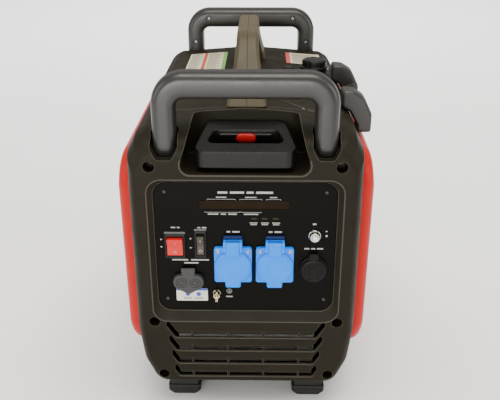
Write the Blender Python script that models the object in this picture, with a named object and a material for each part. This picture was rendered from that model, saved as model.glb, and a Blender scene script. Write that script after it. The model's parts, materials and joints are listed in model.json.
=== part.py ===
"""Suitcase inverter generator: moulded shells around an engine, with three
carry handles, a pull-out trolley grip, two rear wheels and a control panel.

Metres, +Z up.  The origin is on the floor at the centre of the object's box.
The control panel faces -Y, and +X is to its reader's right.
"""
import math

import bmesh
import bpy
from mathutils import Matrix, Vector

# ---------------------------------------------------------------- dimensions
GAP = 0.0003              # air between pieces that touch
WALL = 0.003              # moulded wall

FRONT_Y = -0.2685         # flat front face of the casing
REAR_Y = 0.2595           # flat rear face of the casing
HALF_WIDTH = 0.150        # casing at mid height
BOTTOM_Z = 0.041          # underside of the casing
TOP_Z = 0.4085            # casing top at the shoulders
CROWN = 0.0095            # the top rises this much more to its middle
SEAM_FRONT_Y = -0.165     # front housing ends here
SEAM_REAR_Y = 0.135       # rear housing starts here
SEAM_TOP_Z = 0.366        # top cover starts here
SEAM_BOTTOM_Z = 0.062     # bottom tray ends here

PANEL_Y = -0.2625         # front face of the control panel
PANEL_THICK = 0.003
PANEL_HALF = 0.1165
PANEL_LOW = 0.1595
PANEL_HIGH = 0.3465
PANEL_CORNER = 0.018

LEG_X = 0.1005            # loop handles: centre of each leg
LOOP_BAR_Z = 0.467        # centre of the cross bar
LOOP_FOOT_Z = 0.3735
LOOP_FRONT_Y = -0.2425
LOOP_REAR_Y = 0.2335
LOOP_HALF_THICK = 0.017   # along Y and, on the cross bar, along Z
LOOP_HALF_LEG = 0.015
LOOP_BEND = 0.026
LEG_BOSS_RADIUS = 0.0210  # the housing is solid round each leg's socket
LEG_BOSS_LOW_Z = 0.3690
LEG_SOCKET_RADIUS = LOOP_HALF_THICK + 0.0008
LEG_SOCKET_LOW_Z = 0.3725

ARCH_FRONT_Y = -0.1525    # centre carry handle: leg centres
ARCH_REAR_Y = 0.1275
ARCH_BAR_Z = 0.4865
ARCH_LEAN = 0.066          # each leg leans in by this much on its way up
ARCH_FOOT_Z = 0.4174
ARCH_HALF_THICK = 0.014
ARCH_HALF_WIDTH = 0.015
ARCH_FOOT_FLARE = 0.012    # extra half width at the feet
ARCH_FLARE_HEIGHT = 0.080
ARCH_BEND = 0.026

POCKET_FLOOR_Z = 0.359    # recess that the trolley grip lies in
POCKET_BACK_Y = -0.178
POCKET_HALF_LOW = 0.084
POCKET_HALF_HIGH = 0.062
GRIP_FRONT_Y = -0.2625
GRIP_BACK_Y = -0.184
GRIP_LOW_Z = 0.3655
GRIP_FRONT_TOP_Z = 0.387
GRIP_SLOPE = 0.20
GRIP_HALF_FRONT = 0.069
GRIP_HALF_BACK = 0.050
GRIP_HOLE_FRONT_Y = -0.2405
GRIP_HOLE_BACK_Y = -0.208
BUTTON_Z = 0.387
TUBE_X = 0.036
TUBE_Z = 0.386
TUBE_END_Y = 0.200

COVER_BULGE = 0.0215      # side covers stand this far off the casing
COVER_FRONT_Y = -0.230
COVER_REAR_Y = 0.226
COVER_LOW_Z = 0.068
COVER_HIGH_Z = 0.370
COVER_EDGE_RUN = 0.016      # the rim climbs to full height over this
COVER_ARCH_RADIUS = 0.0665

WHEEL_Y = 0.200
WHEEL_RADIUS = 0.055
WHEEL_X = 0.139
WHEEL_HALF_WIDTH = 0.015
HUB_RADIUS = 0.0385
AXLE_RADIUS = 0.005

FOOT_X = 0.0905
FOOT_HALF = 0.0235
FOOT_FRONT_Y = -0.2425
FOOT_BACK_Y = -0.1975

SOCKET_X = (-0.0162, 0.0383)
SOCKET_HALF = 0.02475
SOCKET_LOW_Z = 0.206
SOCKET_HIGH_Z = 0.257
SOCKET_WELL_RADIUS = 0.01975
LID_HINGE_Y = -0.2735
LID_HINGE_Z = 0.2645

RUN_SWITCH = (-0.0918, 0.2570, 0.0133, 0.0175)    # centre X, centre Z, half width, half height
ECO_SWITCH = (-0.0585, 0.2595, 0.0075, 0.0195)
ROCKER_TILT = math.radians(8.0)

JACK_X = (-0.0845, -0.0665)
JACK_Z = 0.206
COVER_HINGE_Z = 0.2235
COVER_HINGE_Y = -0.2675

DC_X = 0.0890
DC_Z = 0.225
DC_RADIUS = 0.0188
DC_WELL_RADIUS = 0.0105
DC_HINGE_Z = 0.2468
DC_HINGE_Y = -0.2700

BREAKER_X = 0.0893
BREAKER_Z = 0.2735
STUD_X = -0.0384
STUD_Z = 0.187

CAP_X = 0.104
CAP_Y = 0.040
CAP_BASE_Z = 0.4165
VENT_X = 0.062
VENT_Y = 0.030

CRANK_Y = -0.0125
CRANK_Z = 0.170
PULLEY_RADIUS = 0.045     # to the rope's centre
PULLEY_X = 0.089
ROPE_RADIUS = 0.0022
ROPE_EXIT = Vector((0.1443, CRANK_Y - PULLEY_RADIUS, 0.3925))
ROPE_OUT = Vector((0.875, 0.0, 0.484)).normalized()
CHEEK_STARTS_Y = (-0.1475, 0.0025)
CHEEK_LENGTH = 0.030

# ------------------------------------------------------------------ finishes
FINISHES = {              # colour, roughness, metallic
    "black_plastic": ((0.030, 0.027, 0.023), 0.55, 0.0),
    "grey_plastic": ((0.060, 0.058, 0.055), 0.45, 0.0),
    "red_plastic": ((0.680, 0.035, 0.022), 0.40, 0.0),
    "gloss_black": ((0.012, 0.011, 0.010), 0.25, 0.0),
    "panel_black": ((0.010, 0.009, 0.008), 0.50, 0.0),
    "amber_window": ((0.050, 0.028, 0.010), 0.20, 0.0),
    "blue_plastic": ((0.050, 0.420, 0.950), 0.45, 0.0),
    "rubber": ((0.020, 0.020, 0.020), 0.80, 0.0),
    "grey_rubber": ((0.110, 0.110, 0.115), 0.70, 0.0),
    "white_plastic": ((0.800, 0.780, 0.740), 0.35, 0.0),
    "chrome": ((0.750, 0.740, 0.720), 0.15, 1.0),
    "brass": ((0.780, 0.600, 0.260), 0.30, 1.0),
    "steel": ((0.560, 0.570, 0.580), 0.35, 1.0),
    "aluminium": ((0.620, 0.620, 0.610), 0.45, 1.0),
    "copper": ((0.550, 0.230, 0.110), 0.45, 1.0),
    "cord": ((0.500, 0.480, 0.440), 0.80, 0.0),
    "tank_plastic": ((0.180, 0.180, 0.170), 0.50, 0.0),
}


def clear_scene():
    for item in list(bpy.data.objects):
        bpy.data.objects.remove(item, do_unlink=True)


def make_material(name, finish):
    colour, roughness, metallic = FINISHES[finish]
    material = bpy.data.materials.new(name)
    material.use_nodes = True
    shader = material.node_tree.nodes["Principled BSDF"]
    shader.inputs["Base Color"].default_value = (*colour, 1.0)
    shader.inputs["Roughness"].default_value = roughness
    shader.inputs["Metallic"].default_value = metallic
    return material


# ------------------------------------------------------------------ outlines
def arc(centre, radius, start, end, steps):
    """Points on an arc in a plane, angles in degrees."""
    turn = [math.radians(start + (end - start) * i / steps) for i in range(steps + 1)]
    return [(centre[0] + radius * math.cos(a), centre[1] + radius * math.sin(a)) for a in turn]


def circle(centre, radius, steps=24):
    return arc(centre, radius, 0.0, 360.0 * (steps - 1) / steps, steps - 1)


def filleted(corners, steps=3):
    """A closed outline whose corners (x, y, radius) are rounded by tangent arcs.

    A corner of radius 0 stays sharp, and a fourth number gives its own steps.
    """
    points = []
    for i, (x, y, radius, *own_steps) in enumerate(corners):
        if radius == 0.0:
            points.append((x, y))
            continue
        count = own_steps[0] if own_steps else steps
        here = Vector((x, y))
        before = (Vector(corners[i - 1][:2]) - here).normalized()
        after = (Vector(corners[(i + 1) % len(corners)][:2]) - here).normalized()
        half = before.angle(after) / 2.0
        reach = radius / math.tan(half)
        start = here + before * reach
        end = here + after * reach
        middle = here + (before + after).normalized() * (radius / math.sin(half))
        for k in range(count + 1):
            mix = start.lerp(end, k / count) - middle
            points.append(tuple(middle + mix.normalized() * radius))
    return points


def rounded_box(x_low, x_high, z_low, z_high, radius, steps=3):
    corners = [(x_low, z_low), (x_high, z_low), (x_high, z_high), (x_low, z_high)]
    return filleted([(x, z, radius) for x, z in corners], steps)


# -------------------------------------------------------------------- shapes
# A shape is a list of points and a list of faces.
def loft(rings, closed=False):
    """Skin a row of equal rings, or of single points at the ends.

    A closed loft joins its last ring to its first, and has no caps.
    """
    points = []
    starts = []
    for ring in rings:
        starts.append(len(points))
        points += [tuple(point) for point in ring]
    faces = []
    count = len(rings)
    for k in range(count if closed else count - 1):
        a = starts[k]
        b = starts[(k + 1) % count]
        size_a = len(rings[k])
        size_b = len(rings[(k + 1) % count])
        for i in range(max(size_a, size_b)):
            j = (i + 1) % max(size_a, size_b)
            if size_a == 1:
                faces.append((a, b + i, b + j))
            elif size_b == 1:
                faces.append((a + j, a + i, b))
            else:
                faces.append((a + j, a + i, b + i, b + j))
    if not closed:
        for start, ring in ((starts[0], rings[0]), (starts[-1], rings[-1])):
            if len(ring) > 1:
                faces.append(tuple(range(start, start + len(ring))))
    return points, faces


def along_y(outline, y_low, y_high):
    """An XZ outline carried along Y."""
    return loft([[(x, y, z) for x, z in outline] for y in (y_low, y_high)])


def along_x(outline, x_low, x_high):
    """A YZ outline carried along X."""
    return loft([[(x, y, z) for y, z in outline] for x in (x_low, x_high)])


def along_z(outline, z_low, z_high):
    return loft([[(x, y, z) for x, y in outline] for z in (z_low, z_high)])


def box(x_low, x_high, y_low, y_high, z_low, z_high):
    outline = [(x_low, z_low), (x_high, z_low), (x_high, z_high), (x_low, z_high)]
    return along_y(outline, y_low, y_high)


def turned(profile, axis, centre, steps=24, ring=False):
    """A turned shape: profile holds (radius, place along the axis).

    centre is the axis's place in the other two directions.  A ring's profile
    is closed and stays off the axis.
    """
    main = "XYZ".index(axis)
    across = [i for i in range(3) if i != main]
    rings = []
    for radius, place in profile:
        around = circle(centre, radius, steps) if radius > 0 else [centre]
        ring_points = []
        for a, b in around:
            point = [0.0, 0.0, 0.0]
            point[main] = place
            point[across[0]] = a
            point[across[1]] = b
            ring_points.append(tuple(point))
        rings.append(ring_points)
    return loft(rings, closed=ring)


def cylinder(axis, centre, radius, low, high, steps=24):
    return turned([(radius, low), (radius, high)], axis, centre, steps)


def mirrored(shape):
    points, faces = shape
    return [(-x, y, z) for x, y, z in points], faces


def turned_about(shape, pivot, axis, angle):
    turn = Matrix.Translation(pivot) @ Matrix.Rotation(angle, 4, axis)
    turn = turn @ Matrix.Translation(-Vector(pivot))
    return [tuple(turn @ Vector(point)) for point in shape[0]], shape[1]


# ------------------------------------------------------------------- objects
def mesh_object(name, shape, origin=(0.0, 0.0, 0.0)):
    points, faces = shape
    mesh = bpy.data.meshes.new(name)
    mesh.from_pydata([tuple(Vector(p) - Vector(origin)) for p in points], [], faces)
    edit = bmesh.new()
    edit.from_mesh(mesh)
    bmesh.ops.recalc_face_normals(edit, faces=edit.faces)
    edit.to_mesh(mesh)
    edit.free()
    item = bpy.data.objects.new(name, mesh)
    item.location = origin
    bpy.context.collection.objects.link(item)
    return item


def tool_object(name, shape):
    """A cutter: it shapes its neighbour and is no part of the object."""
    item = mesh_object(name, shape)
    item.hide_render = True
    item.display_type = "WIRE"
    return item


def combine(item, operation, tools):
    """Boolean a list of shapes, or of ready objects, into an object."""
    for i, tool in enumerate(tools):
        if isinstance(tool, tuple):
            tool = tool_object(f"tool_{item.name}_{operation.lower()}_{i}", tool)
        step = item.modifiers.new(f"{operation.lower()}_{i}", "BOOLEAN")
        step.operation = operation
        step.solver = "EXACT"
        step.object = tool


def part(name, shape, finish, origin=(0.0, 0.0, 0.0), add=(), keep=(), cut=(), bevel=0.0):
    item = mesh_object(name, shape, origin)
    item.data.materials.append(make_material(name, finish))
    item.data.shade_smooth()
    item.data.set_sharp_from_angle(angle=math.radians(35.0))
    combine(item, "UNION", add)
    combine(item, "INTERSECT", keep)
    combine(item, "DIFFERENCE", cut)
    if bevel > 0.0:
        edge = item.modifiers.new("edges", "BEVEL")
        edge.width = bevel
        edge.segments = 1
        edge.limit_method = "ANGLE"
        edge.angle_limit = math.radians(50.0)
    return item


# ------------------------------------------------------------ casing outline
OUTER_DEPTHS = (0.0, 0.0020, 0.0080, 0.0180, 0.0320, 0.0500)
INNER_DEPTHS = (0.0, 0.0060, 0.0220, 0.0500)
END_SIDE = (0.028, 0.014)        # length and height of the end's side rounding
END_TOP = (0.050, 0.028)
END_BOTTOM = (0.020, 0.006)
REAR_SIDE = (0.080, 0.020)


def rounding(depth, shape):
    """How far an elliptical edge has drawn in at this depth from the end."""
    length, height = shape
    if depth >= length:
        return 0.0
    return height * (1.0 - math.sqrt(1.0 - (1.0 - depth / length) ** 2))


def casing_ring(y, depth, side, inset):
    half = HALF_WIDTH - rounding(depth, side) - inset
    top = TOP_Z - rounding(depth, END_TOP) - inset
    low = BOTTOM_Z + rounding(depth, END_BOTTOM) + inset
    right = [
        (half - 0.022, low, 0.015, 2),
        (half - 0.006, low + 0.035, 0.030, 1),
        (half, 0.125, 0.0),
        (half, 0.325, 0.0),
        (half - 0.0005, top - 0.0255, 0.008, 1),
        (half - 0.011, top - 0.0065, 0.006, 1),
        (half - 0.022, top, 0.008, 1),
    ]
    left = [(-corner[0], *corner[1:]) for corner in reversed(right)]
    outline = filleted(right + [(0.0, top + CROWN, 0.300, 2)] + left)
    return [(x, y, z) for x, z in outline]


def casing_solid(inset, depths):
    """The whole casing as one solid, drawn in by inset on every side."""
    front = FRONT_Y + inset
    rear = REAR_Y - inset
    rings = [casing_ring(front + d, d, END_SIDE, inset) for d in depths]
    rings += [casing_ring(rear - d, d, REAR_SIDE, inset) for d in reversed(depths + (REAR_SIDE[0],))]
    return loft(rings)


def shell_part(name, finish, blocks, region, cut=(), add=()):
    """A piece of the casing's wall, thickened where a block crosses it."""
    hollow = tool_object("tool_hollow_" + name, casing_solid(WALL, INNER_DEPTHS))
    combine(hollow, "DIFFERENCE", blocks)
    item = part(name, casing_solid(0.0, OUTER_DEPTHS), finish, cut=[hollow])
    combine(item, "INTERSECT", [region])
    if add:
        combine(item, "UNION", add)
    openings = [tool_object(f"tool_opening_{name}_{i}", shape) for i, shape in enumerate(cut)]
    combine(item, "DIFFERENCE", openings)
    return item


# ------------------------------------------------------------- front housing
SCREW_HOLES = ((0.1195, 0.3690), (0.1240, 0.1430), (0.1150, 0.0560))
SCREW_HOLE_RADIUS = 0.0072
SLOT_COUNT = 4
SLOT_TOP_Z = 0.1185             # lower edge of the highest slot
SLOT_PITCH = 0.0216
SLOT_HEIGHT = 0.0078
RIB_X = (-0.0735, -0.0245, 0.0245, 0.0735)
RIB_HALF = 0.0014


def pocket_outline(extra):
    low = POCKET_FLOOR_Z - extra
    return filleted([
        (-POCKET_HALF_LOW - extra, low, 0.010),
        (POCKET_HALF_LOW + extra, low, 0.010),
        (POCKET_HALF_HIGH + extra, 0.440, 0.004),
        (-POCKET_HALF_HIGH - extra, 0.440, 0.004),
    ])


def slot_band(low, height, half, rise):
    """A long slot whose two ends climb outwards."""
    run = rise * 0.65
    return [
        (-half, low), (half, low),
        (half + run, low + rise), (half + run, low + rise + height),
        (half + run - 0.003, low + rise + height), (half - 0.003, low + height),
        (-half + 0.003, low + height), (-half - run + 0.003, low + rise + height),
        (-half - run, low + rise + height), (-half - run, low + rise),
    ]


def leg_socket(x, y, radius, low):
    return cylinder("Z", (x, y), radius, low, 0.440, 16)


NOTCH_LOW_Z = 0.3795            # the front leg seats are open to the front from here up
NOTCH_HIGH_Z = 0.3935
NOTCH_HALF_LOW = 0.0080
NOTCH_HALF_HIGH = 0.0165


def leg_notch(x):
    """A notch that narrows downwards, in front of a leg's socket."""
    outline = filleted([
        (x - NOTCH_HALF_LOW, NOTCH_LOW_Z, 0.003, 2), (x + NOTCH_HALF_LOW, NOTCH_LOW_Z, 0.003, 2),
        (x + NOTCH_HALF_HIGH, NOTCH_HIGH_Z, 0.008, 2), (x + NOTCH_HALF_HIGH, 0.440, 0.0),
        (x - NOTCH_HALF_HIGH, 0.440, 0.0), (x - NOTCH_HALF_HIGH, NOTCH_HIGH_Z, 0.008, 2),
    ])
    return along_y(outline, -0.300, LOOP_FRONT_Y)


def make_front_housing():
    blocks = [
        along_y(pocket_outline(WALL), -0.300, POCKET_BACK_Y + WALL),
        along_y(rounded_box(-0.1250, 0.1250, 0.1410, 0.3530, 0.020), -0.300, PANEL_Y + 0.006),
    ]
    cuts = [along_y(pocket_outline(0.0), -0.300, POCKET_BACK_Y)]
    for side in (-1, 1):
        x = side * LEG_X
        blocks.append(leg_socket(x, LOOP_FRONT_Y, LEG_BOSS_RADIUS, LEG_BOSS_LOW_Z))
        blocks.append(box(x - LEG_BOSS_RADIUS, x + LEG_BOSS_RADIUS, -0.300, LOOP_FRONT_Y,
                          LEG_BOSS_LOW_Z, 0.440))
        cuts.append(leg_socket(x, LOOP_FRONT_Y, LEG_SOCKET_RADIUS, LEG_SOCKET_LOW_Z))
        cuts.append(leg_notch(x))
        tube = rounded_box(side * TUBE_X - 0.0087, side * TUBE_X + 0.0087,
                           TUBE_Z - 0.0057, TUBE_Z + 0.0057, 0.0052)
        cuts.append(along_y(tube, POCKET_BACK_Y - 0.010, POCKET_BACK_Y + 0.010))
        for x, z in SCREW_HOLES:
            blocks.append(cylinder("Y", (side * x, z), 0.0100, -0.300, -0.2440, 10))
            cuts.append(cylinder("Y", (side * x, z), SCREW_HOLE_RADIUS, -0.300, -0.2470, 12))
    mouth = [(0.1235, 0.1450, 0.3505, FRONT_Y - 0.0010), (0.1172, 0.1588, 0.3472, PANEL_Y)]
    rings = []
    for half, low, high, y in mouth:
        rings.append([(x, y, z) for x, z in rounded_box(-half, half, low, high, PANEL_CORNER - 0.001, 5)])
    rings.append([(x, PANEL_Y + 0.020, z) for x, y, z in rings[-1]])
    cuts.append(loft(rings))
    for i in range(SLOT_COUNT):
        low = SLOT_TOP_Z - i * SLOT_PITCH
        band = slot_band(low, SLOT_HEIGHT, 0.0965 - i * 0.0012, 0.018 - i * 0.0028)
        cuts.append(along_y(band, -0.300, FRONT_Y + 0.0016))
        edges = [-0.0965] + [x for rib in RIB_X for x in (rib - RIB_HALF, rib + RIB_HALF)] + [0.0965]
        for k in range(0, len(edges), 2):
            cuts.append(box(edges[k] + 0.001, edges[k + 1] - 0.001, -0.300, FRONT_Y + 0.008,
                            low + 0.0008, low + SLOT_HEIGHT - 0.0008))
    region = box(-0.2, 0.2, -0.3, SEAM_FRONT_Y - GAP / 2, 0.0, 0.5)
    shell_part("front_housing", "black_plastic", blocks, region, cut=cuts)


def wheel_well(side, radius, x_inner):
    low, high = sorted((side * x_inner, side * 0.200))
    return cylinder("X", (WHEEL_Y, WHEEL_RADIUS), radius, low, high, 24)


EXHAUST_X = 0.060
EXHAUST_Z = 0.205
EXHAUST_END_Y = 0.2778     # as far behind the origin as the ground stud is in front
REAR_SLOT_COUNT = 6
REAR_SLOT_LOW_Z = 0.150
REAR_SLOT_PITCH = 0.020


def make_rear_housing():
    blocks = []
    cuts = [cylinder("Y", (EXHAUST_X, EXHAUST_Z), 0.0160, 0.230, 0.300)]
    for side in (-1, 1):
        blocks.append(leg_socket(side * LEG_X, LOOP_REAR_Y, LEG_BOSS_RADIUS, LEG_BOSS_LOW_Z))
        cuts.append(leg_socket(side * LEG_X, LOOP_REAR_Y, LEG_SOCKET_RADIUS, LEG_SOCKET_LOW_Z))
        blocks.append(wheel_well(side, 0.0620, 0.1170))
        cuts.append(wheel_well(side, 0.0590, 0.1200))
        for x, z in ((0.110, 0.3600), (0.113, 0.1360)):
            blocks.append(cylinder("Y", (side * x, z), 0.0100, 0.2350, 0.300, 10))
            cuts.append(cylinder("Y", (side * x, z), SCREW_HOLE_RADIUS, 0.2380, 0.300, 12))
    cuts.append(cylinder("X", (WHEEL_Y, WHEEL_RADIUS), AXLE_RADIUS + GAP, -0.150, 0.150, 16))
    for i in range(REAR_SLOT_COUNT):
        low = REAR_SLOT_LOW_Z + i * REAR_SLOT_PITCH
        for x_low, x_high in ((-0.085, -0.032), (-0.028, 0.025)):
            cuts.append(along_y(rounded_box(x_low, x_high, low, low + 0.009, 0.003, 1), 0.240, 0.300))
    region = box(-0.2, 0.2, SEAM_REAR_Y + GAP / 2, 0.3, 0.0, 0.5)
    shell_part("rear_housing", "black_plastic", blocks, region, cut=cuts)


def make_middle_shells():
    y_low = SEAM_FRONT_Y + GAP / 2
    y_high = SEAM_REAR_Y - GAP / 2
    rope_start = ROPE_EXIT - ROPE_OUT * 0.020
    rope_hole = straight_tube(rope_start, ROPE_EXIT + ROPE_OUT * 0.010, ROPE_RADIUS * 2.0, 12)
    top_cuts = [
        cylinder("Z", (CAP_X, CAP_Y), 0.0178, 0.380, 0.440),
        cylinder("Z", (VENT_X, VENT_Y), 0.0042, 0.380, 0.440, 16),
        rope_hole,
    ]
    region = box(-0.2, 0.2, y_low, y_high, SEAM_TOP_Z + GAP / 2, 0.5)
    shell_part("top_cover", "black_plastic", [], region, cut=top_cuts)
    region = box(-0.2, 0.2, y_low, y_high, 0.0, SEAM_BOTTOM_Z - GAP / 2)
    shell_part("bottom_tray", "black_plastic", [], region)
    post = cylinder("X", (CRANK_Y, CRANK_Z), 0.0080, PULLEY_X - 0.004, 0.1485, 16)
    for name, side, add in (("left_body_shell", -1, []), ("right_body_shell", 1, [post])):
        x_low, x_high = sorted((0.0, side * 0.2))
        region = box(x_low, x_high, y_low, y_high, SEAM_BOTTOM_Z + GAP / 2, SEAM_TOP_Z - GAP / 2)
        shell_part(name, "black_plastic", [], region, add=add)


def make_side_covers():
    """Pillow-shaped panels, thin, with their rim against the casing."""
    depth_steps = (0.0, 0.0015, 0.0045, 0.0095, 0.016, 0.050, 0.120)
    middle_z = (COVER_LOW_Z + COVER_HIGH_Z) / 2
    middle_y = (COVER_FRONT_Y + COVER_REAR_Y) / 2

    def skin(inset, drop):
        rings = []
        for d in depth_steps:
            away = max(0.0, 1.0 - d / COVER_EDGE_RUN)
            rise = math.sqrt(1.0 - away * away)
            reach = d + inset
            corner = max(0.048 - reach, 0.006)
            outline = rounded_box(COVER_FRONT_Y + reach, COVER_REAR_Y - reach,
                                  COVER_LOW_Z + reach, COVER_HIGH_Z - reach, corner, 3)
            ring = []
            for y, z in outline:
                fade = 1.0 - 0.30 * ((z - middle_z - 0.010) / 0.150) ** 2
                height = max(COVER_BULGE * rise * fade - drop, 0.0)
                ring.append((HALF_WIDTH + GAP + height, y, z))
            rings.append(ring)
        return rings

    outer = skin(0.0, 0.0)
    inner = skin(0.0025, 0.0025)
    peak = COVER_BULGE * (1.0 - 0.30 * (0.010 / 0.150) ** 2)
    tip_out = [(HALF_WIDTH + GAP + peak, middle_y, middle_z)]
    tip_in = [(HALF_WIDTH + GAP + peak - 0.0025, middle_y, middle_z)]
    shape = loft([tip_out] + outer[::-1] + inner[1:] + [tip_in])
    well = wheel_well(1, COVER_ARCH_RADIUS, 0.1200)
    part("right_side_cover", shape, "red_plastic", cut=[well])
    part("left_side_cover", mirrored(shape), "red_plastic", cut=[mirrored(well)])


# ------------------------------------------------------------------- handles
def bent_path(start_a, bar, start_b, foot, bend, steps=5):
    """A staple-shaped centre line (along, height) with rounded corners."""
    left = arc((start_a + bend, bar - bend), bend, 180.0, 90.0, steps)
    right = arc((start_b - bend, bar - bend), bend, 90.0, 0.0, steps)
    return [(start_a, foot)] + left + right + [(start_b, foot)]


def path_normals(path):
    normals = []
    for i in range(len(path)):
        a = Vector(path[max(i - 1, 0)])
        b = Vector(path[min(i + 1, len(path) - 1)])
        tangent = (b - a).normalized()
        normals.append(Vector((-tangent.y, tangent.x)))
    return normals


LEG_TIP_LENGTH = 0.019          # a leg's end narrows over this length
LEG_TIP_TAPER = 0.50


def half_loop(y_centre, side):
    """One clamshell of a loop handle; side is -1 towards -Y, 1 towards +Y."""
    path = bent_path(-LEG_X, LOOP_BAR_Z, LEG_X, LOOP_FOOT_Z + LEG_TIP_LENGTH, LOOP_BEND)
    normals = path_normals(path)
    for share in (0.55, 0.0):
        height = LOOP_FOOT_Z + share * LEG_TIP_LENGTH
        path = [(-LEG_X, height)] + path + [(LEG_X, height)]
        normals = [normals[0]] + normals + [normals[-1]]
    rings = []
    for (along, height), normal in zip(path, normals):
        on_bar = abs(normal.y)
        across = LOOP_HALF_LEG + (LOOP_HALF_THICK - LOOP_HALF_LEG) * on_bar
        tip = max(0.0, 1.0 - (height - LOOP_FOOT_Z) / LEG_TIP_LENGTH)
        scale = 1.0 - LEG_TIP_TAPER * tip * tip
        ring = []
        for a in range(8):
            angle = math.pi * a / 7
            out = math.cos(angle) * across * scale
            deep = math.sin(angle) * LOOP_HALF_THICK * scale
            ring.append((along + normal.x * out, y_centre + side * (GAP / 2 + deep), height + normal.y * out))
        rings.append(ring)
    return loft(rings)


def make_loop_handles():
    for label, y_centre in (("front", LOOP_FRONT_Y), ("rear", LOOP_REAR_Y)):
        outer, inner = (-1, 1) if label == "front" else (1, -1)
        part(f"{label}_handle_outer", half_loop(y_centre, outer), "grey_plastic")
        part(f"{label}_handle_inner", half_loop(y_centre, inner), "grey_plastic")


def carry_path():
    """The centre line (along, height) of the carry handle, from foot to foot."""
    step = 0.016
    drift = ARCH_LEAN * step / (ARCH_BAR_Z - ARCH_FOOT_Z)
    return filleted([
        (ARCH_FRONT_Y, ARCH_FOOT_Z, 0.0), (ARCH_FRONT_Y + drift, ARCH_FOOT_Z + step, 0.0),
        (ARCH_FRONT_Y + ARCH_LEAN, ARCH_BAR_Z, ARCH_BEND), (ARCH_REAR_Y - ARCH_LEAN, ARCH_BAR_Z, ARCH_BEND),
        (ARCH_REAR_Y - drift, ARCH_FOOT_Z + step, 0.0), (ARCH_REAR_Y, ARCH_FOOT_Z, 0.0),
    ], 5)


def make_carry_handle():
    path = carry_path()
    normals = path_normals(path)
    normals[0] = Vector((-1.0, 0.0))          # the feet are cut level
    normals[-1] = Vector((1.0, 0.0))
    rings = []
    for (along, height), normal in zip(path, normals):
        low = max(0.0, 1.0 - (height - ARCH_FOOT_Z) / ARCH_FLARE_HEIGHT)
        width = ARCH_HALF_WIDTH + ARCH_FOOT_FLARE * low * low
        thick = ARCH_HALF_THICK + 0.004 * low * low
        outline = filleted([(GAP / 2, -thick, 0.0), (width, -thick, 0.006),
                            (width, thick, 0.006), (GAP / 2, thick, 0.0)], 2)
        rings.append([(x, along + normal.x * t, height + normal.y * t) for x, t in outline])
    half = loft(rings)
    part("carry_handle_right", half, "black_plastic")
    part("carry_handle_left", mirrored(half), "black_plastic")


def make_trolley_grip():
    outline = filleted([
        (-GRIP_HALF_FRONT, GRIP_FRONT_Y, 0.012), (GRIP_HALF_FRONT, GRIP_FRONT_Y, 0.012),
        (GRIP_HALF_BACK, GRIP_BACK_Y, 0.010), (-GRIP_HALF_BACK, GRIP_BACK_Y, 0.010),
    ], 4)

    def top_of(y):
        return GRIP_FRONT_TOP_Z + GRIP_SLOPE * (y - GRIP_FRONT_Y)

    grip = loft([[(x, y, GRIP_LOW_Z) for x, y in outline], [(x, y, top_of(y)) for x, y in outline]])
    hole = filleted([
        (-0.050, GRIP_HOLE_FRONT_Y, 0.007), (0.050, GRIP_HOLE_FRONT_Y, 0.007),
        (0.041, GRIP_HOLE_BACK_Y, 0.007), (-0.041, GRIP_HOLE_BACK_Y, 0.007),
    ])
    button_seat = rounded_box(-0.0134, 0.0134, BUTTON_Z - 0.0069, BUTTON_Z + 0.0069, 0.0066, 4)
    seat = along_y(button_seat, GRIP_HOLE_BACK_Y - 0.004, GRIP_HOLE_BACK_Y + 0.011)
    body = part("telescopic_grip", grip, "gloss_black", cut=[along_z(hole, 0.350, 0.420)], bevel=0.004)
    body.modifiers["edges"].segments = 2
    combine(body, "DIFFERENCE", [seat])
    button = rounded_box(-0.0131, 0.0131, BUTTON_Z - 0.0066, BUTTON_Z + 0.0066, 0.0064, 5)
    face = GRIP_HOLE_BACK_Y - 0.002
    inner = [(x * 0.90, BUTTON_Z + (z - BUTTON_Z) * 0.84) for x, z in button]
    rings = [[(x, face, z) for x, z in inner], [(x, face + 0.0012, z) for x, z in button],
             [(x, face + 0.0095, z) for x, z in button]]
    part("release_button", loft(rings), "red_plastic", origin=(0.0, face, BUTTON_Z))


def pipe(x, z, half_x, half_z, wall, y_low, y_high):
    """A flat-sided oval pipe, open at both ends."""
    outside = rounded_box(x - half_x, x + half_x, z - half_z, z + half_z, half_z * 0.95, 2)
    half_x -= wall
    half_z -= wall
    inside = rounded_box(x - half_x, x + half_x, z - half_z, z + half_z, half_z * 0.95, 2)
    rings = []
    for outline, y in ((outside, y_low), (outside, y_high), (inside, y_high), (inside, y_low)):
        rings.append([(a, y, b) for a, b in outline])
    return loft(rings, closed=True)


def make_trolley_tubes():
    for name, side in (("left", -1), ("right", 1)):
        tube = pipe(side * TUBE_X, TUBE_Z, 0.008, 0.005, 0.0012, GRIP_BACK_Y + GAP, TUBE_END_Y)
        part(f"inner_tube_{name}", tube, "chrome")
    start = POCKET_BACK_Y + WALL + 0.0010
    sleeves = [pipe(side * TUBE_X, TUBE_Z, 0.0105, 0.0075, 0.0019, start, 0.215) for side in (-1, 1)]
    bridges = [box(-0.0258, 0.0258, y, y + 0.016, TUBE_Z - 0.003, TUBE_Z + 0.003) for y in (start, 0.199)]
    part("handle_guide_frame", sleeves[0], "steel", add=[bridges[0], bridges[1], sleeves[1]])


# ------------------------------------------------------------ feet and wheels
def make_feet():
    top = BOTTOM_Z - GAP
    steps = ((0.0, 0.0160), (0.0050, 0.0235), (0.0150, 0.0235), (0.0165, 0.0215), (top, 0.0210))
    for name, side in (("left", -1), ("right", 1)):
        rings = []
        for z, half in steps:
            trim = FOOT_HALF - half
            outline = rounded_box(side * FOOT_X - half, side * FOOT_X + half,
                                  FOOT_FRONT_Y + trim * 0.5, FOOT_BACK_Y - trim * 0.5, 0.004, 2)
            rings.append([(x, y, z) for x, y in outline])
        part(f"front_foot_{name}", loft(rings), "rubber")


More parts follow.
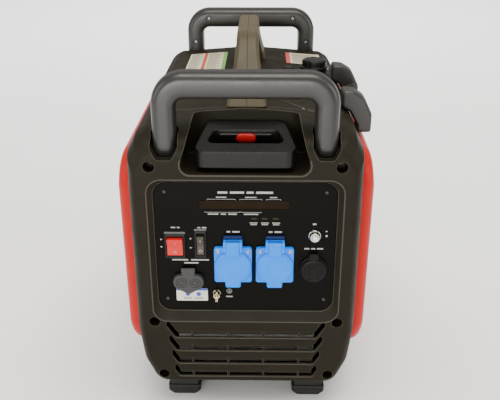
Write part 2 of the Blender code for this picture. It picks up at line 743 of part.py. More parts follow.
def make_wheels():
    end = WHEEL_X + WHEEL_HALF_WIDTH
    centre = (WHEEL_Y, WHEEL_RADIUS)
    profile = [(0.009, -end - 0.0035), (0.009, -end - GAP), (AXLE_RADIUS, -end - GAP),
               (AXLE_RADIUS, end + GAP), (0.009, end + GAP), (0.009, end + 0.0035)]
    part("wheel_axle", turned(profile, "X", centre, 20), "steel")
    for name, side in (("left", -1), ("right", 1)):
        middle = side * WHEEL_X
        low = middle - WHEEL_HALF_WIDTH
        high = middle + WHEEL_HALF_WIDTH
        origin = (middle, *centre)
        tread = [(WHEEL_RADIUS - 0.005, low), (WHEEL_RADIUS, low + 0.005), (WHEEL_RADIUS, high - 0.005),
                 (WHEEL_RADIUS - 0.005, high), (HUB_RADIUS + GAP, high), (HUB_RADIUS + GAP, low)]
        part(f"wheel_{name}_tyre", turned(tread, "X", centre, 24, True), "rubber", origin)
        hub = [(HUB_RADIUS, low + 0.002), (HUB_RADIUS, high - 0.002), (0.033, high - 0.002),
               (0.031, high - 0.007), (0.012, high - 0.007), (0.012, high),
               (AXLE_RADIUS + GAP, high), (AXLE_RADIUS + GAP, low)]
        part(f"wheel_{name}_hub", turned(hub, "X", centre, 24, True), "grey_plastic", origin)


# ------------------------------------------------------------- control panel
SOCKET_MID_Z = (SOCKET_LOW_Z + SOCKET_HIGH_Z) / 2
LID_MID_Z = 0.2305
LID_RADIUS = 0.0240


def make_panel():
    holes = [along_y(rounded_box(-0.0593, 0.0568, 0.3097, 0.3218, 0.0015, 1), -0.28, -0.25)]
    for x, z, half_x, half_z in (RUN_SWITCH, ECO_SWITCH):
        outline = rounded_box(x - half_x + 0.0012, x + half_x - 0.0012,
                              z - half_z + 0.0012, z + half_z - 0.0012, 0.001, 1)
        holes.append(along_y(outline, -0.28, -0.25))
    for x in SOCKET_X:
        holes.append(cylinder("Y", (x, SOCKET_MID_Z), 0.0225, -0.28, -0.25, 20))
    holes.append(along_y(rounded_box(-0.0937, -0.0573, 0.1985, 0.2135, 0.004, 2), -0.28, -0.25))
    holes.append(cylinder("Y", (DC_X, DC_Z), 0.0145, -0.28, -0.25))
    holes.append(cylinder("Y", (BREAKER_X, BREAKER_Z), 0.0064, -0.28, -0.25, 16))
    holes.append(cylinder("Y", (STUD_X, STUD_Z), 0.0028, -0.28, -0.25, 12))
    plate = rounded_box(-PANEL_HALF, PANEL_HALF, PANEL_LOW, PANEL_HIGH, PANEL_CORNER, 5)
    part("control_panel", along_y(plate, PANEL_Y, PANEL_Y + PANEL_THICK), "panel_black", cut=holes)
    window = rounded_box(-0.0590, 0.0565, 0.3100, 0.3215, 0.0012, 1)
    part("display_window", along_y(window, PANEL_Y - 0.0004, PANEL_Y + 0.0020), "amber_window")


def make_switch(label, place, finish):
    x, z, half_x, half_z = place
    front = PANEL_Y - GAP
    rim = rounded_box(x - half_x, x + half_x, z - half_z, z + half_z, 0.0015, 2)
    body = rounded_box(x - half_x + 0.0016, x + half_x - 0.0016, z - half_z + 0.0016,
                       z + half_z - 0.0016, 0.001, 1)
    well = rounded_box(x - half_x + 0.0026, x + half_x - 0.0026, z - half_z + 0.0034,
                       z + half_z - 0.0034, 0.001, 1)
    part(f"{label}_switch_bezel", along_y(rim, front - 0.0022, front), "gloss_black",
         add=[along_y(body, front - 0.0010, front + 0.018)],
         cut=[along_y(well, front - 0.010, front + 0.012)])
    half_z -= 0.0053
    half_x -= 0.0030
    pivot = Vector((x, front + 0.0040, z))
    side_view = [
        (front - 0.0042, z - half_z), (front - 0.0020, z), (front - 0.0042, z + half_z),
        (front + 0.0035, z + half_z), (front + 0.0080, z), (front + 0.0035, z - half_z),
    ]
    rocker = turned_about(along_x(side_view, x - half_x, x + half_x), pivot, "X", ROCKER_TILT)
    part(f"{label}_switch_rocker", rocker, finish, origin=pivot)


def make_socket(name, x):
    """A recessed mains socket with a hinged splash lid."""
    front = PANEL_Y - GAP
    flange = rounded_box(x - SOCKET_HALF, x + SOCKET_HALF, SOCKET_LOW_Z, SOCKET_HIGH_Z, 0.003, 2)
    centre = (x, SOCKET_MID_Z)
    drum = cylinder("Y", centre, 0.0219, front - 0.003, front + 0.026, 20)
    ears = []
    for side in (-1, 1):
        ear = rounded_box(LID_HINGE_Y - 0.0035, front, 0.2530, LID_HINGE_Z + 0.0040, 0.0030, 2)
        low, high = sorted((x + side * 0.0088, x + side * 0.0122))
        ears.append(along_x(ear, low, high))
    cuts = [cylinder("Y", centre, SOCKET_WELL_RADIUS, front - 0.020, front + 0.0140, 20)]
    for side in (-1, 1):
        cuts.append(cylinder("Y", (x + side * 0.0095, SOCKET_MID_Z), 0.0026, front, front + 0.022, 10))
    part(f"socket_{name}", along_y(flange, front - 0.0058, front), "blue_plastic",
         add=[drum] + ears, cut=cuts)
    back = front - 0.0058 - GAP
    rim = arc((0.0, LID_MID_Z), LID_RADIUS, -62.0, 242.0, 20)
    outline = [(x + a, z) for a, z in rim] + [(x - 0.0100, 0.2060), (x - 0.0095, 0.1985),
                                             (x + 0.0095, 0.1985), (x + 0.0100, 0.2060)]
    rings = [[(a, back, z) for a, z in outline], [(a, back - 0.0035, z) for a, z in outline]]
    for y, scale in ((back - 0.0052, 0.955), (back - 0.0060, 0.90)):
        rings.append([(x + (a - x) * scale, y, LID_MID_Z + (z - LID_MID_Z) * scale) for a, z in outline])
    pivot = (x, LID_HINGE_Y, LID_HINGE_Z)
    arm = rounded_box(LID_HINGE_Y - 0.0033, LID_HINGE_Y + 0.0033, 0.2500, LID_HINGE_Z + 0.0033, 0.0030, 3)
    part(f"socket_{name}_lid", loft(rings), "blue_plastic", origin=pivot,
         add=[along_x(arm, x - 0.0084, x + 0.0084)])


def make_parallel_outlet():
    front = PANEL_Y - GAP
    middle = sum(JACK_X) / 2
    flange = rounded_box(middle - 0.0200, middle + 0.0200, 0.1965, 0.2155, 0.006, 3)
    body = rounded_box(middle - 0.0178, middle + 0.0178, 0.1990, 0.2130, 0.004, 2)
    holes = [cylinder("Y", (x, JACK_Z), 0.0046, -0.280, front + 0.012, 16) for x in JACK_X]
    part("parallel_outlet", along_y(flange, front - 0.0025, front), "gloss_black",
         add=[along_y(body, front - 0.001, front + 0.016)], cut=holes)
    back = front - 0.0025 - GAP
    radius = 0.0115
    outline = arc((JACK_X[1], JACK_Z), radius, -60.0, 100.0, 10)
    outline += [(middle + 0.0090, 0.2190), (middle + 0.0090, 0.2240)]
    outline += [(middle - 0.0090, 0.2240), (middle - 0.0090, 0.2190)]
    outline += arc((JACK_X[0], JACK_Z), radius, 80.0, 240.0, 10)
    outline += [(middle - 0.0030, 0.1890), (middle + 0.0030, 0.1890)]
    rings = []
    for y, scale in ((back, 1.0), (back - 0.0040, 1.0), (back - 0.0055, 0.93)):
        rings.append([(middle + (x - middle) * scale, y, JACK_Z + (z - JACK_Z) * scale) for x, z in outline])
    knuckle = cylinder("X", (COVER_HINGE_Y, COVER_HINGE_Z), 0.0030, middle - 0.0090, middle + 0.0090, 12)
    part("parallel_outlet_cover", loft(rings), "grey_rubber",
         origin=(middle, COVER_HINGE_Y, COVER_HINGE_Z), add=[knuckle])


def make_dc_outlet():
    front = PANEL_Y - GAP
    centre = (DC_X, DC_Z)
    drum = turned([(DC_RADIUS - 0.0015, front - 0.0040), (DC_RADIUS, front - 0.0025), (DC_RADIUS, front),
                     (0.0140, front), (0.0140, front + 0.033)], "Y", centre, 20)
    well = cylinder("Y", centre, DC_WELL_RADIUS, front - 0.010, front + 0.030)
    part("dc_outlet", drum, "gloss_black", cut=[well])
    back = front - 0.0040 - GAP
    cap = [(0.0172, back), (0.0172, back - 0.0030), (0.0155, back - 0.0048), (0.0120, back - 0.0052),
           (0.0110, back - 0.0040), (0.0, back - 0.0040)]
    lug = rounded_box(DC_X - 0.0060, DC_X + 0.0060, 0.2380, DC_HINGE_Z + 0.0025, 0.0020, 2)
    part("dc_outlet_cap", turned(cap, "Y", centre, 20), "gloss_black",
         origin=(DC_X, DC_HINGE_Y, DC_HINGE_Z), add=[along_y(lug, back - 0.0030, back)])


def make_small_fittings():
    front = PANEL_Y - GAP
    centre = (BREAKER_X, BREAKER_Z)
    bush = [(0.0085, front), (0.0085, front - 0.0030), (0.0070, front - 0.0040), (0.0058, front - 0.0075)]
    stem = cylinder("Y", centre, 0.0060, front - 0.001, front + 0.016, 16)
    part("dc_breaker_body", turned(bush, "Y", centre, 20), "chrome", add=[stem],
         cut=[cylinder("Y", centre, 0.0042, front - 0.020, front + 0.010, 16)])
    button = [(0.0024, front - 0.0115), (0.0036, front - 0.0100), (0.0036, front + 0.0060)]
    part("dc_breaker_button", turned(button, "Y", centre, 16), "white_plastic",
         origin=(BREAKER_X, front, BREAKER_Z))
    centre = (STUD_X, STUD_Z)
    stud = [(0.0024, front - 0.0150), (0.0024, front - 0.0030), (0.0052, front - 0.0030),
            (0.0052, front), (0.0024, front), (0.0024, front + 0.0100)]
    part("ground_stud", turned(stud, "Y", centre, 16), "brass")
    low = front - 0.0105
    high = front - 0.0030 - GAP
    ring = [(0.0048, high), (0.0042, low), (0.0028, low), (0.0028, high)]
    wings = []
    for side in (-1, 1):
        spread = [(STUD_X - 0.0012, STUD_Z + side * 0.0035), (STUD_X + 0.0012, STUD_Z + side * 0.0035),
                  (STUD_X + 0.0020, STUD_Z + side * 0.0078), (STUD_X - 0.0020, STUD_Z + side * 0.0078)]
        wings.append(along_y(spread, low - 0.0020, high - 0.0015))
    part("ground_wing_nut", turned(ring, "Y", centre, 16, True), "brass",
         origin=(STUD_X, front, STUD_Z), add=wings)


# ------------------------------------------------------- fuel and the starter
def make_fuel_parts():
    tank = rounded_box(-0.125, 0.130, 0.001, 0.132, 0.018, 3)
    neck = cylinder("Z", (CAP_X, CAP_Y), 0.0160, 0.350, 0.4140)
    mouth = cylinder("Z", (CAP_X, CAP_Y), 0.0130, 0.300, 0.430)
    part("fuel_tank", along_z(tank, 0.262, 0.362), "tank_plastic", add=[neck], cut=[mouth])
    centre = (CAP_X, CAP_Y)
    base = CAP_BASE_Z
    cup = [(0.0, base - 0.012), (0.0122, base - 0.012), (0.0122, base - 0.0014),
           (0.0170, base - 0.0014), (0.0170, base + 0.0012), (0.0080, base + 0.0012),
           (0.0080, base + 0.0090), (0.0, base + 0.0090)]
    part("fuel_cap_insert", turned(cup, "Z", centre, 16), "rubber", origin=(CAP_X, CAP_Y, base))
    shell = [(0.0222, base + 0.0016), (0.0222, base + 0.0060), (0.0195, base + 0.0075),
             (0.0195, base + 0.0150), (0.0175, base + 0.0175)]
    hole = cylinder("Z", centre, 0.0083, base, base + 0.0095, 12)
    part("fuel_cap", turned(shell, "Z", centre, 20), "gloss_black", origin=(CAP_X, CAP_Y, base), cut=[hole])
    knob = [(0.0088, base + 0.0010), (0.0088, base + 0.0065), (0.0070, base + 0.0085)]
    stem = cylinder("Z", (VENT_X, VENT_Y), 0.0038, base - 0.010, base + 0.003, 16)
    part("fuel_vent_knob", turned(knob, "Z", (VENT_X, VENT_Y), 24), "rubber",
         origin=(VENT_X, VENT_Y, base), add=[stem])


def straight_tube(start, end, radius, steps):
    along = (end - start).normalized()
    side = along.cross(Vector((0.0, 1.0, 0.0))).normalized()
    up = along.cross(side)
    rings = []
    for point in (start, end):
        around = circle((0.0, 0.0), radius, steps)
        rings.append([tuple(point + side * a + up * b) for a, b in around])
    return loft(rings)


def make_starter():
    cheek = filleted([
        (0.1510, 0.3740, 0.0), (0.1712, 0.3740, 0.0040), (0.1712, 0.4000, 0.0150),
        (0.1600, 0.4230, 0.0150), (0.1450, 0.4320, 0.0150), (0.1292, 0.4330, 0.0040),
        (0.1292, 0.4098, 0.0), (0.1402, 0.4036, 0.0060), (0.1507, 0.3850, 0.0050),
    ], 2)
    for name, start in zip(("front", "rear"), CHEEK_STARTS_Y):
        part(f"starter_guard_{name}", along_y(cheek, start, start + CHEEK_LENGTH), "grey_plastic",
             bevel=0.0035)
    side = Vector((-ROPE_OUT.z, 0.0, ROPE_OUT.x))
    rings = []
    bar = filleted([(0.006, -0.010, 0.005), (0.024, -0.008, 0.006), (0.024, 0.008, 0.006),
                    (0.006, 0.010, 0.005)], 3)
    half_length = 0.046
    for step, scale in ((-1.0, 0.70), (-0.93, 1.0), (0.93, 1.0), (1.0, 0.70)):
        ring = []
        for out, across in bar:
            out = 0.015 + (out - 0.015) * scale
            point = ROPE_EXIT + ROPE_OUT * out + side * across * scale
            ring.append((point.x, point.y + step * half_length, point.z))
        rings.append(ring)
    stem = straight_tube(ROPE_EXIT + ROPE_OUT * 0.0016, ROPE_EXIT + ROPE_OUT * 0.010, 0.0085, 20)
    part("recoil_grip", loft(rings), "rubber", origin=ROPE_EXIT, add=[stem])
    rim = PULLEY_RADIUS - ROPE_RADIUS - GAP
    profile = [(0.0083, PULLEY_X - 0.005), (0.047, PULLEY_X - 0.005), (0.047, PULLEY_X - 0.003),
               (rim, PULLEY_X - 0.003), (rim, PULLEY_X + 0.003), (0.047, PULLEY_X + 0.003),
               (0.047, PULLEY_X + 0.005), (0.0083, PULLEY_X + 0.005)]
    part("recoil_pulley", turned(profile, "X", (CRANK_Y, CRANK_Z), 20, True), "grey_plastic",
         origin=(PULLEY_X, CRANK_Y, CRANK_Z))
    start = Vector((PULLEY_X, ROPE_EXIT.y, CRANK_Z))
    corner = Vector((PULLEY_X, ROPE_EXIT.y, 0.3300))
    straight = ROPE_EXIT - ROPE_OUT * 0.018
    rope = bpy.data.curves.new("starter_rope", "CURVE")
    rope.dimensions = "3D"
    rope.bevel_depth = ROPE_RADIUS
    rope.bevel_resolution = 2
    rope.use_fill_caps = True
    points = [start.lerp(corner, i / 6) for i in range(7)]
    reach = 0.030
    for i in range(1, 9):
        t = i / 8
        a = corner.lerp(corner + Vector((0.0, 0.0, reach)), t)
        b = (corner + Vector((0.0, 0.0, reach))).lerp(straight - ROPE_OUT * reach * 0.6, t)
        c = (straight - ROPE_OUT * reach * 0.6).lerp(straight, t)
        points.append(a.lerp(b, t).lerp(b.lerp(c, t), t))
    points.append(ROPE_EXIT + ROPE_OUT * 0.0012)
    spline = rope.splines.new("POLY")
    spline.points.add(len(points) - 1)
    for place, point in zip(spline.points, points):
        place.co = (*point, 1.0)
    item = bpy.data.objects.new("starter_rope", rope)
    rope.materials.append(make_material("starter_rope", "cord"))
    bpy.context.collection.objects.link(item)


# ------------------------------------------------------------ inside the case
def make_engine():
    case = rounded_box(-0.0850, 0.0280, 0.100, 0.235, 0.012, 2)
    block = along_x(case, -0.075, 0.030)
    fins = []
    for i in range(6):
        y = 0.040 + i * 0.013
        fins.append(box(-0.062, 0.022, y, y + 0.005, 0.120, 0.222))
    barrel = box(-0.052, 0.012, 0.020, 0.124, 0.130, 0.212)
    rails = [box(x, x + 0.018, -0.080, 0.022, BOTTOM_Z + WALL + GAP, 0.106) for x in (-0.070, 0.008)]
    bore = cylinder("X", (CRANK_Y, CRANK_Z), 0.0125, -0.10, 0.05)
    part("engine_block", block, "aluminium", add=[barrel] + fins + rails, cut=[bore])
    shaft = [(0.0120, -0.0850), (0.0120, 0.0620), (0.0600, 0.0640), (0.0600, 0.0360), (0.0680, 0.0360),
             (0.0680, 0.0720), (0.0300, 0.0740), (0.0120, 0.0780)]
    part("crankshaft_rotor", turned(shaft, "X", (CRANK_Y, CRANK_Z), 20), "steel",
         origin=(0.0, CRANK_Y, CRANK_Z))
    coil = [(0.0160, 0.0304), (0.0550, 0.0304), (0.0550, 0.0580), (0.0160, 0.0580)]
    part("stator", turned(coil, "X", (CRANK_Y, CRANK_Z), 20, True), "copper")
    can = rounded_box(0.1500, 0.2150, 0.122, 0.245, 0.020)
    outlet = cylinder("Y", (EXHAUST_X, EXHAUST_Z), 0.0110, 0.210, EXHAUST_END_Y, 20)
    inlet = cylinder("Y", (-0.020, 0.170), 0.0110, 0.1243, 0.155, 16)
    part("muffler", along_x(can, -0.100, 0.100), "steel", add=[outlet, inlet],
         cut=[cylinder("Y", (EXHAUST_X, EXHAUST_Z), 0.0085, 0.250, 0.290, 20)])
    filter_box = rounded_box(-0.100, -0.012, 0.245, 0.340, 0.010, 2)
    part("air_filter_box", along_x(filter_box, -0.138, -0.085), "black_plastic")
    flange = rounded_box(-0.045, 0.010, 0.185, 0.2445, 0.006, 2)
    part("carburettor", along_x(flange, -0.115, -0.0753), "aluminium",
         cut=[cylinder("Y", (-0.095, 0.210), 0.008, -0.06, 0.0, 16)])
    half = 0.098
    comb = [(-half, BOTTOM_Z + WALL + GAP), (half, BOTTOM_Z + WALL + GAP)]
    fin_count = 12
    pitch = 2 * half / fin_count
    for i in range(fin_count):
        right = half - i * pitch
        comb += [(right, 0.128), (right - pitch * 0.35, 0.128), (right - pitch * 0.35, 0.095),
                 (right - pitch + 0.0001, 0.095)]
    comb[-1] = (-half, 0.095)
    part("inverter_module", along_y(comb, -0.222, -0.150), "aluminium")


def build():
    clear_scene()
    make_front_housing()
    make_rear_housing()
    make_middle_shells()
    make_side_covers()
    make_loop_handles()
    make_carry_handle()
    make_trolley_grip()
    make_trolley_tubes()
    make_feet()
    make_wheels()
    make_panel()
    make_switch("run", RUN_SWITCH, "red_plastic")
    make_switch("eco", ECO_SWITCH, "gloss_black")
    for name, x in zip(("left", "right"), SOCKET_X):
        make_socket(name, x)
    make_parallel_outlet()
    make_dc_outlet()
    make_small_fittings()
    make_fuel_parts()
    make_starter()
    make_engine()


build()
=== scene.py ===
"""Suitcase inverter generator, dressed: fine shells, handles, fittings and finishes.

Everything is in metres in the model's own frame: +Z up, the control panel
faces -Y, and +X is to its reader's right.
"""
import json
import math

import bmesh
import bpy
from mathutils import Matrix, Vector
from mathutils.bvhtree import BVHTree

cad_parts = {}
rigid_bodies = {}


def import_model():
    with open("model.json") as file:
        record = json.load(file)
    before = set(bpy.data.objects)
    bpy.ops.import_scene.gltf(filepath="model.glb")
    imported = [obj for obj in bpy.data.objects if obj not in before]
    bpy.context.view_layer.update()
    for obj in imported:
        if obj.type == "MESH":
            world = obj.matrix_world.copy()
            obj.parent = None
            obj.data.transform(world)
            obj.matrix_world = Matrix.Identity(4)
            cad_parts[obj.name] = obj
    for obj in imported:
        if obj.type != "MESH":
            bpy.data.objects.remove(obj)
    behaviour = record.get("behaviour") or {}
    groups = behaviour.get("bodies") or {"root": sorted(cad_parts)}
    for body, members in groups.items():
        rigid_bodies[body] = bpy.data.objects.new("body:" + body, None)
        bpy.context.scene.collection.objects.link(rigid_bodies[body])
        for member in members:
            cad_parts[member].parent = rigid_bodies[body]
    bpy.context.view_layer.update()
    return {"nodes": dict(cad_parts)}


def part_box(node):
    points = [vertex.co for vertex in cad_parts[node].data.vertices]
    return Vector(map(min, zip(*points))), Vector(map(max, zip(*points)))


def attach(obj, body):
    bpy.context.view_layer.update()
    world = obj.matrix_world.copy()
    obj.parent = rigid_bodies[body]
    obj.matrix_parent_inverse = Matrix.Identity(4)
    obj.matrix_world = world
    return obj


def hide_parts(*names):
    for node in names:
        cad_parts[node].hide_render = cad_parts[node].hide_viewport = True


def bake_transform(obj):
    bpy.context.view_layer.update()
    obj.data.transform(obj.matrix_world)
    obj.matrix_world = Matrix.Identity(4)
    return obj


for leftover in list(bpy.data.objects):
    bpy.data.objects.remove(leftover, do_unlink=True)
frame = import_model()

# ---------------------------------------------------------- places and sizes
FRONT_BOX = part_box("front_housing")
REAR_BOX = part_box("rear_housing")
FRONT_Y = FRONT_BOX[0].y
REAR_Y = REAR_BOX[1].y
HALF_WIDTH = FRONT_BOX[1].x
BOTTOM_Z = FRONT_BOX[0].z
TOP_Z = FRONT_BOX[1].z - 0.00868          # shoulder height, under the crown
CROWN = 0.0095
SEAM_FRONT_Y = FRONT_BOX[1].y
SEAM_REAR_Y = REAR_BOX[0].y
SEAM_TOP_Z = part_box("top_cover")[0].z
SEAM_BOTTOM_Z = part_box("bottom_tray")[1].z
SEAM_GAP = 0.0003
WALL = 0.003

PANEL_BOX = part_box("control_panel")
PANEL_Y = PANEL_BOX[0].y
PANEL_HALF = PANEL_BOX[1].x
PANEL_CORNER = 0.018

LEG_X = 0.1005
LOOP_BEND = 0.026
LOOP_HALF_THICK = 0.017
LOOP_HALF_LEG = 0.015
LEG_HOLE_RADIUS = 0.0178         # in the housings, for a loop handle leg
LEG_HOLE_FLOOR_Z = 0.3725
LEG_WALL_RADIUS = 0.0210
LEG_WALL_FLOOR_Z = 0.3690
ABOVE_TOP_Z = 0.440
LOOP_FRONT_Y = (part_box("front_handle_outer")[0].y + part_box("front_handle_inner")[1].y) / 2
LOOP_REAR_Y = (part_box("rear_handle_outer")[1].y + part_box("rear_handle_inner")[0].y) / 2
LOOP_FOOT_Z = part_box("front_handle_outer")[0].z
LOOP_BAR_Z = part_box("front_handle_outer")[1].z - LOOP_HALF_THICK

WHEEL_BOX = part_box("wheel_right_tyre")
WHEEL_Y = (WHEEL_BOX[0].y + WHEEL_BOX[1].y) / 2
WHEEL_RADIUS = (WHEEL_BOX[1].z - WHEEL_BOX[0].z) / 2
WHEEL_Z = WHEEL_BOX[0].z + WHEEL_RADIUS
WHEEL_X = (WHEEL_BOX[0].x + WHEEL_BOX[1].x) / 2
WHEEL_HALF_WIDTH = (WHEEL_BOX[1].x - WHEEL_BOX[0].x) / 2
CRANK_Y = -0.0125
CRANK_Z = 0.170


def middle_of(node):
    low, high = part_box(node)
    return (low + high) / 2


# ------------------------------------------------------------------ outlines
def arc(centre, radius, start, end, steps):
    """Points on an arc in a plane, angles in degrees."""
    turn = [math.radians(start + (end - start) * i / steps) for i in range(steps + 1)]
    return [(centre[0] + radius * math.cos(a), centre[1] + radius * math.sin(a)) for a in turn]


def circle(centre, radius, steps=64):
    return arc(centre, radius, 0.0, 360.0 * (steps - 1) / steps, steps - 1)


def filleted(corners, steps=6):
    """A closed outline whose corners (x, y, radius) are rounded by tangent arcs."""
    points = []
    for i, (x, y, radius) in enumerate(corners):
        if radius == 0.0:
            points.append((x, y))
            continue
        here = Vector((x, y))
        before = (Vector(corners[i - 1][:2]) - here).normalized()
        after = (Vector(corners[(i + 1) % len(corners)][:2]) - here).normalized()
        half = before.angle(after) / 2.0
        reach = radius / math.tan(half)
        start = here + before * reach
        end = here + after * reach
        middle = here + (before + after).normalized() * (radius / math.sin(half))
        for k in range(steps + 1):
            mix = start.lerp(end, k / steps) - middle
            points.append(tuple(middle + mix.normalized() * radius))
    return points


def rounded_box(x_low, x_high, z_low, z_high, radius, steps=6):
    corners = [(x_low, z_low), (x_high, z_low), (x_high, z_high), (x_low, z_high)]
    return filleted([(x, z, radius) for x, z in corners], steps)


def grown_outline(outline, extra):
    """The outline with every point moved out along its own normal."""
    grown = []
    for i, point in enumerate(outline):
        before = Vector(outline[i - 1])
        after = Vector(outline[(i + 1) % len(outline)])
        along = (after - before).normalized()
        grown.append((point[0] + along.y * extra, point[1] - along.x * extra))
    return grown


# -------------------------------------------------------------------- shapes
def loft(rings, closed=False):
    """Skin a row of equal rings, or of single points at the ends."""
    points = []
    starts = []
    for ring in rings:
        starts.append(len(points))
        points += [tuple(point) for point in ring]
    faces = []
    count = len(rings)
    for k in range(count if closed else count - 1):
        a = starts[k]
        b = starts[(k + 1) % count]
        size_a = len(rings[k])
        size_b = len(rings[(k + 1) % count])
        for i in range(max(size_a, size_b)):
            j = (i + 1) % max(size_a, size_b)
            if size_a == 1:
                faces.append((a, b + i, b + j))
            elif size_b == 1:
                faces.append((a + j, a + i, b))
            else:
                faces.append((a + j, a + i, b + i, b + j))
    if not closed:
        for start, ring in ((starts[0], rings[0]), (starts[-1], rings[-1])):
            if len(ring) > 1:
                faces.append(tuple(range(start, start + len(ring))))
    return points, faces


def along_y(outline, y_low, y_high):
    return loft([[(x, y, z) for x, z in outline] for y in (y_low, y_high)])


def along_x(outline, x_low, x_high):
    return loft([[(x, y, z) for y, z in outline] for x in (x_low, x_high)])


def along_z(outline, z_low, z_high):
    return loft([[(x, y, z) for x, y in outline] for z in (z_low, z_high)])


def box(x_low, x_high, y_low, y_high, z_low, z_high):
    outline = [(x_low, z_low), (x_high, z_low), (x_high, z_high), (x_low, z_high)]
    return along_y(outline, y_low, y_high)


def off(start, *pairs):
    """A profile of (radius, distance) pairs, each distance counted from start."""
    return [(first, start + distance) for first, distance in pairs]


def layers(start, *pairs):
    """Steps of (distance, inset) pairs, each distance counted from start."""
    return [(start + distance, inset) for distance, inset in pairs]


def stepped(outline, steps):
    """An XZ outline carried along Y; steps holds (y, how far it is drawn in)."""
    return loft([[(x, y, z) for x, z in grown_outline(outline, -inset)] for y, inset in steps])


def turned(profile, axis, centre, steps=64, ring=False):
    """A turned shape: profile holds (radius, place along the axis)."""
    main = "XYZ".index(axis)
    across = [i for i in range(3) if i != main]
    rings = []
    for radius, place in profile:
        around = circle(centre, radius, steps) if radius > 0 else [centre]
        ring_points = []
        for a, b in around:
            point = [0.0, 0.0, 0.0]
            point[main] = place
            point[across[0]] = a
            point[across[1]] = b
            ring_points.append(tuple(point))
        rings.append(ring_points)
    return loft(rings, closed=ring)


def cylinder(axis, centre, radius, low, high, steps=64):
    return turned([(radius, low), (radius, high)], axis, centre, steps)


def bore(axis, centre, radius, mouth, depth, flare=0.0006, steps=48):
    """A cutter for a round hole with an eased mouth; depth is signed."""
    way = 1.0 if depth > 0 else -1.0
    profile = [(radius + flare * 3.2, mouth - way * flare * 2.0),
               (radius + flare, mouth + way * flare * 0.1),
               (radius + flare * 0.3, mouth + way * flare * 0.5), (radius, mouth + way * flare * 1.2),
               (radius, mouth + depth)]
    return turned(profile, axis, centre, steps)


def mirrored(shape):
    points, faces = shape
    return [(-x, y, z) for x, y, z in points], faces


def turned_about(shape, pivot, axis, angle):
    turn = Matrix.Translation(pivot) @ Matrix.Rotation(angle, 4, axis)
    turn = turn @ Matrix.Translation(-Vector(pivot))
    return [tuple(turn @ Vector(point)) for point in shape[0]], shape[1]


def joined(shapes):
    points, faces = [], []
    for shape_points, shape_faces in shapes:
        start = len(points)
        points += shape_points
        faces += [tuple(start + i for i in face) for face in shape_faces]
    return points, faces


# ------------------------------------------------------------------- objects
def placed(name, data):
    """A new object in the scene that shows a mesh, path, lamp or camera."""
    item = bpy.data.objects.new(name, data)
    bpy.context.scene.collection.objects.link(item)
    return item


def mesh_object(name, shape):
    points, faces = shape
    mesh = bpy.data.meshes.new(name)
    mesh.from_pydata([tuple(p) for p in points], [], faces)
    edit = bmesh.new()
    edit.from_mesh(mesh)
    bmesh.ops.recalc_face_normals(edit, faces=edit.faces)
    edit.to_mesh(mesh)
    edit.free()
    return placed(name, mesh)


def painted(item, material):
    """Give an object one finish, by its name in FINISHES."""
    item.data.materials.clear()
    item.data.materials.append(FINISHES[material])
    return item


def plain(item):
    """Replace an object's mesh by what its modifiers make of it."""
    bpy.context.view_layer.update()
    evaluated = item.evaluated_get(bpy.context.evaluated_depsgraph_get())
    mesh = bpy.data.meshes.new_from_object(evaluated)
    item.modifiers.clear()
    item.data = mesh
    return item


def combine(item, operation, shapes):
    """Boolean shapes into an object in one step, and keep only the result."""
    if not shapes:
        return item
    tools = bpy.data.collections.new("tools")
    bpy.context.scene.collection.children.link(tools)
    for shape in shapes:
        tool = shape if isinstance(shape, bpy.types.Object) else mesh_object("tool", shape)
        bpy.context.scene.collection.objects.unlink(tool)
        tools.objects.link(tool)
    step = item.modifiers.new("step", "BOOLEAN")
    if operation == "INTERSECT":
        step.object = tools.objects[0]
    else:
        step.operand_type = "COLLECTION"
        step.collection = tools
    step.operation = operation
    step.solver = "EXACT"
    plain(item)
    for tool in list(tools.objects):
        bpy.data.objects.remove(tool, do_unlink=True)
    bpy.data.collections.remove(tools)
    return item


def bevelled(item, width, segments=3, angle=40.0):
    edge = item.modifiers.new("edges", "BEVEL")
    edge.width = width
    edge.segments = segments
    edge.limit_method = "ANGLE"
    edge.angle_limit = math.radians(angle)
    edge.harden_normals = False
    return plain(item)


def smoothed(item, angle=35.0):
    item.data.shade_smooth()
    item.data.set_sharp_from_angle(angle=math.radians(angle))
    weights = item.modifiers.new("weights", "WEIGHTED_NORMAL")
    weights.keep_sharp = True
    return plain(item)


def piece(name, shape, material, body="root", stands_for=(), angle=35.0, add=(), cut=(),
          bevel=0.0):
    """Make one finished piece: shape it, smooth it, paint it and let it ride on its body."""
    item = shape if isinstance(shape, bpy.types.Object) else mesh_object(name, shape)
    combine(item, "UNION", add)
    if bevel > 0.0:
        bevelled(item, bevel)
    combine(item, "DIFFERENCE", cut)
    smoothed(item, angle)
    item.name = name
    painted(item, material)
    return settle(item, body, stands_for)


def settle(item, body, stands_for=()):
    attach(item, body)
    if stands_for:
        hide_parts(*stands_for)
    return item


# ------------------------------------------------------------------- finishes
def add_node(tree, kind, **values):
    node = tree.nodes.new(kind)
    for name, value in values.items():
        if name in node.inputs:
            node.inputs[name].default_value = value
        else:
            setattr(node, name, value)
    return node


def noise(tree, where, scale, detail=3.0, roughness=0.55):
    made = add_node(tree, "ShaderNodeTexNoise", Scale=scale, Detail=detail, Roughness=roughness)
    tree.links.new(where, made.inputs["Vector"])
    return made.outputs["Fac"]


def ranged(tree, value, low, high, from_low=0.3, from_high=0.7):
    made = tree.nodes.new("ShaderNodeMapRange")
    for name, number in (("From Min", from_low), ("From Max", from_high), ("To Min", low),
                         ("To Max", high)):
        made.inputs[name].default_value = number
    tree.links.new(value, made.inputs["Value"])
    return made.outputs["Result"]


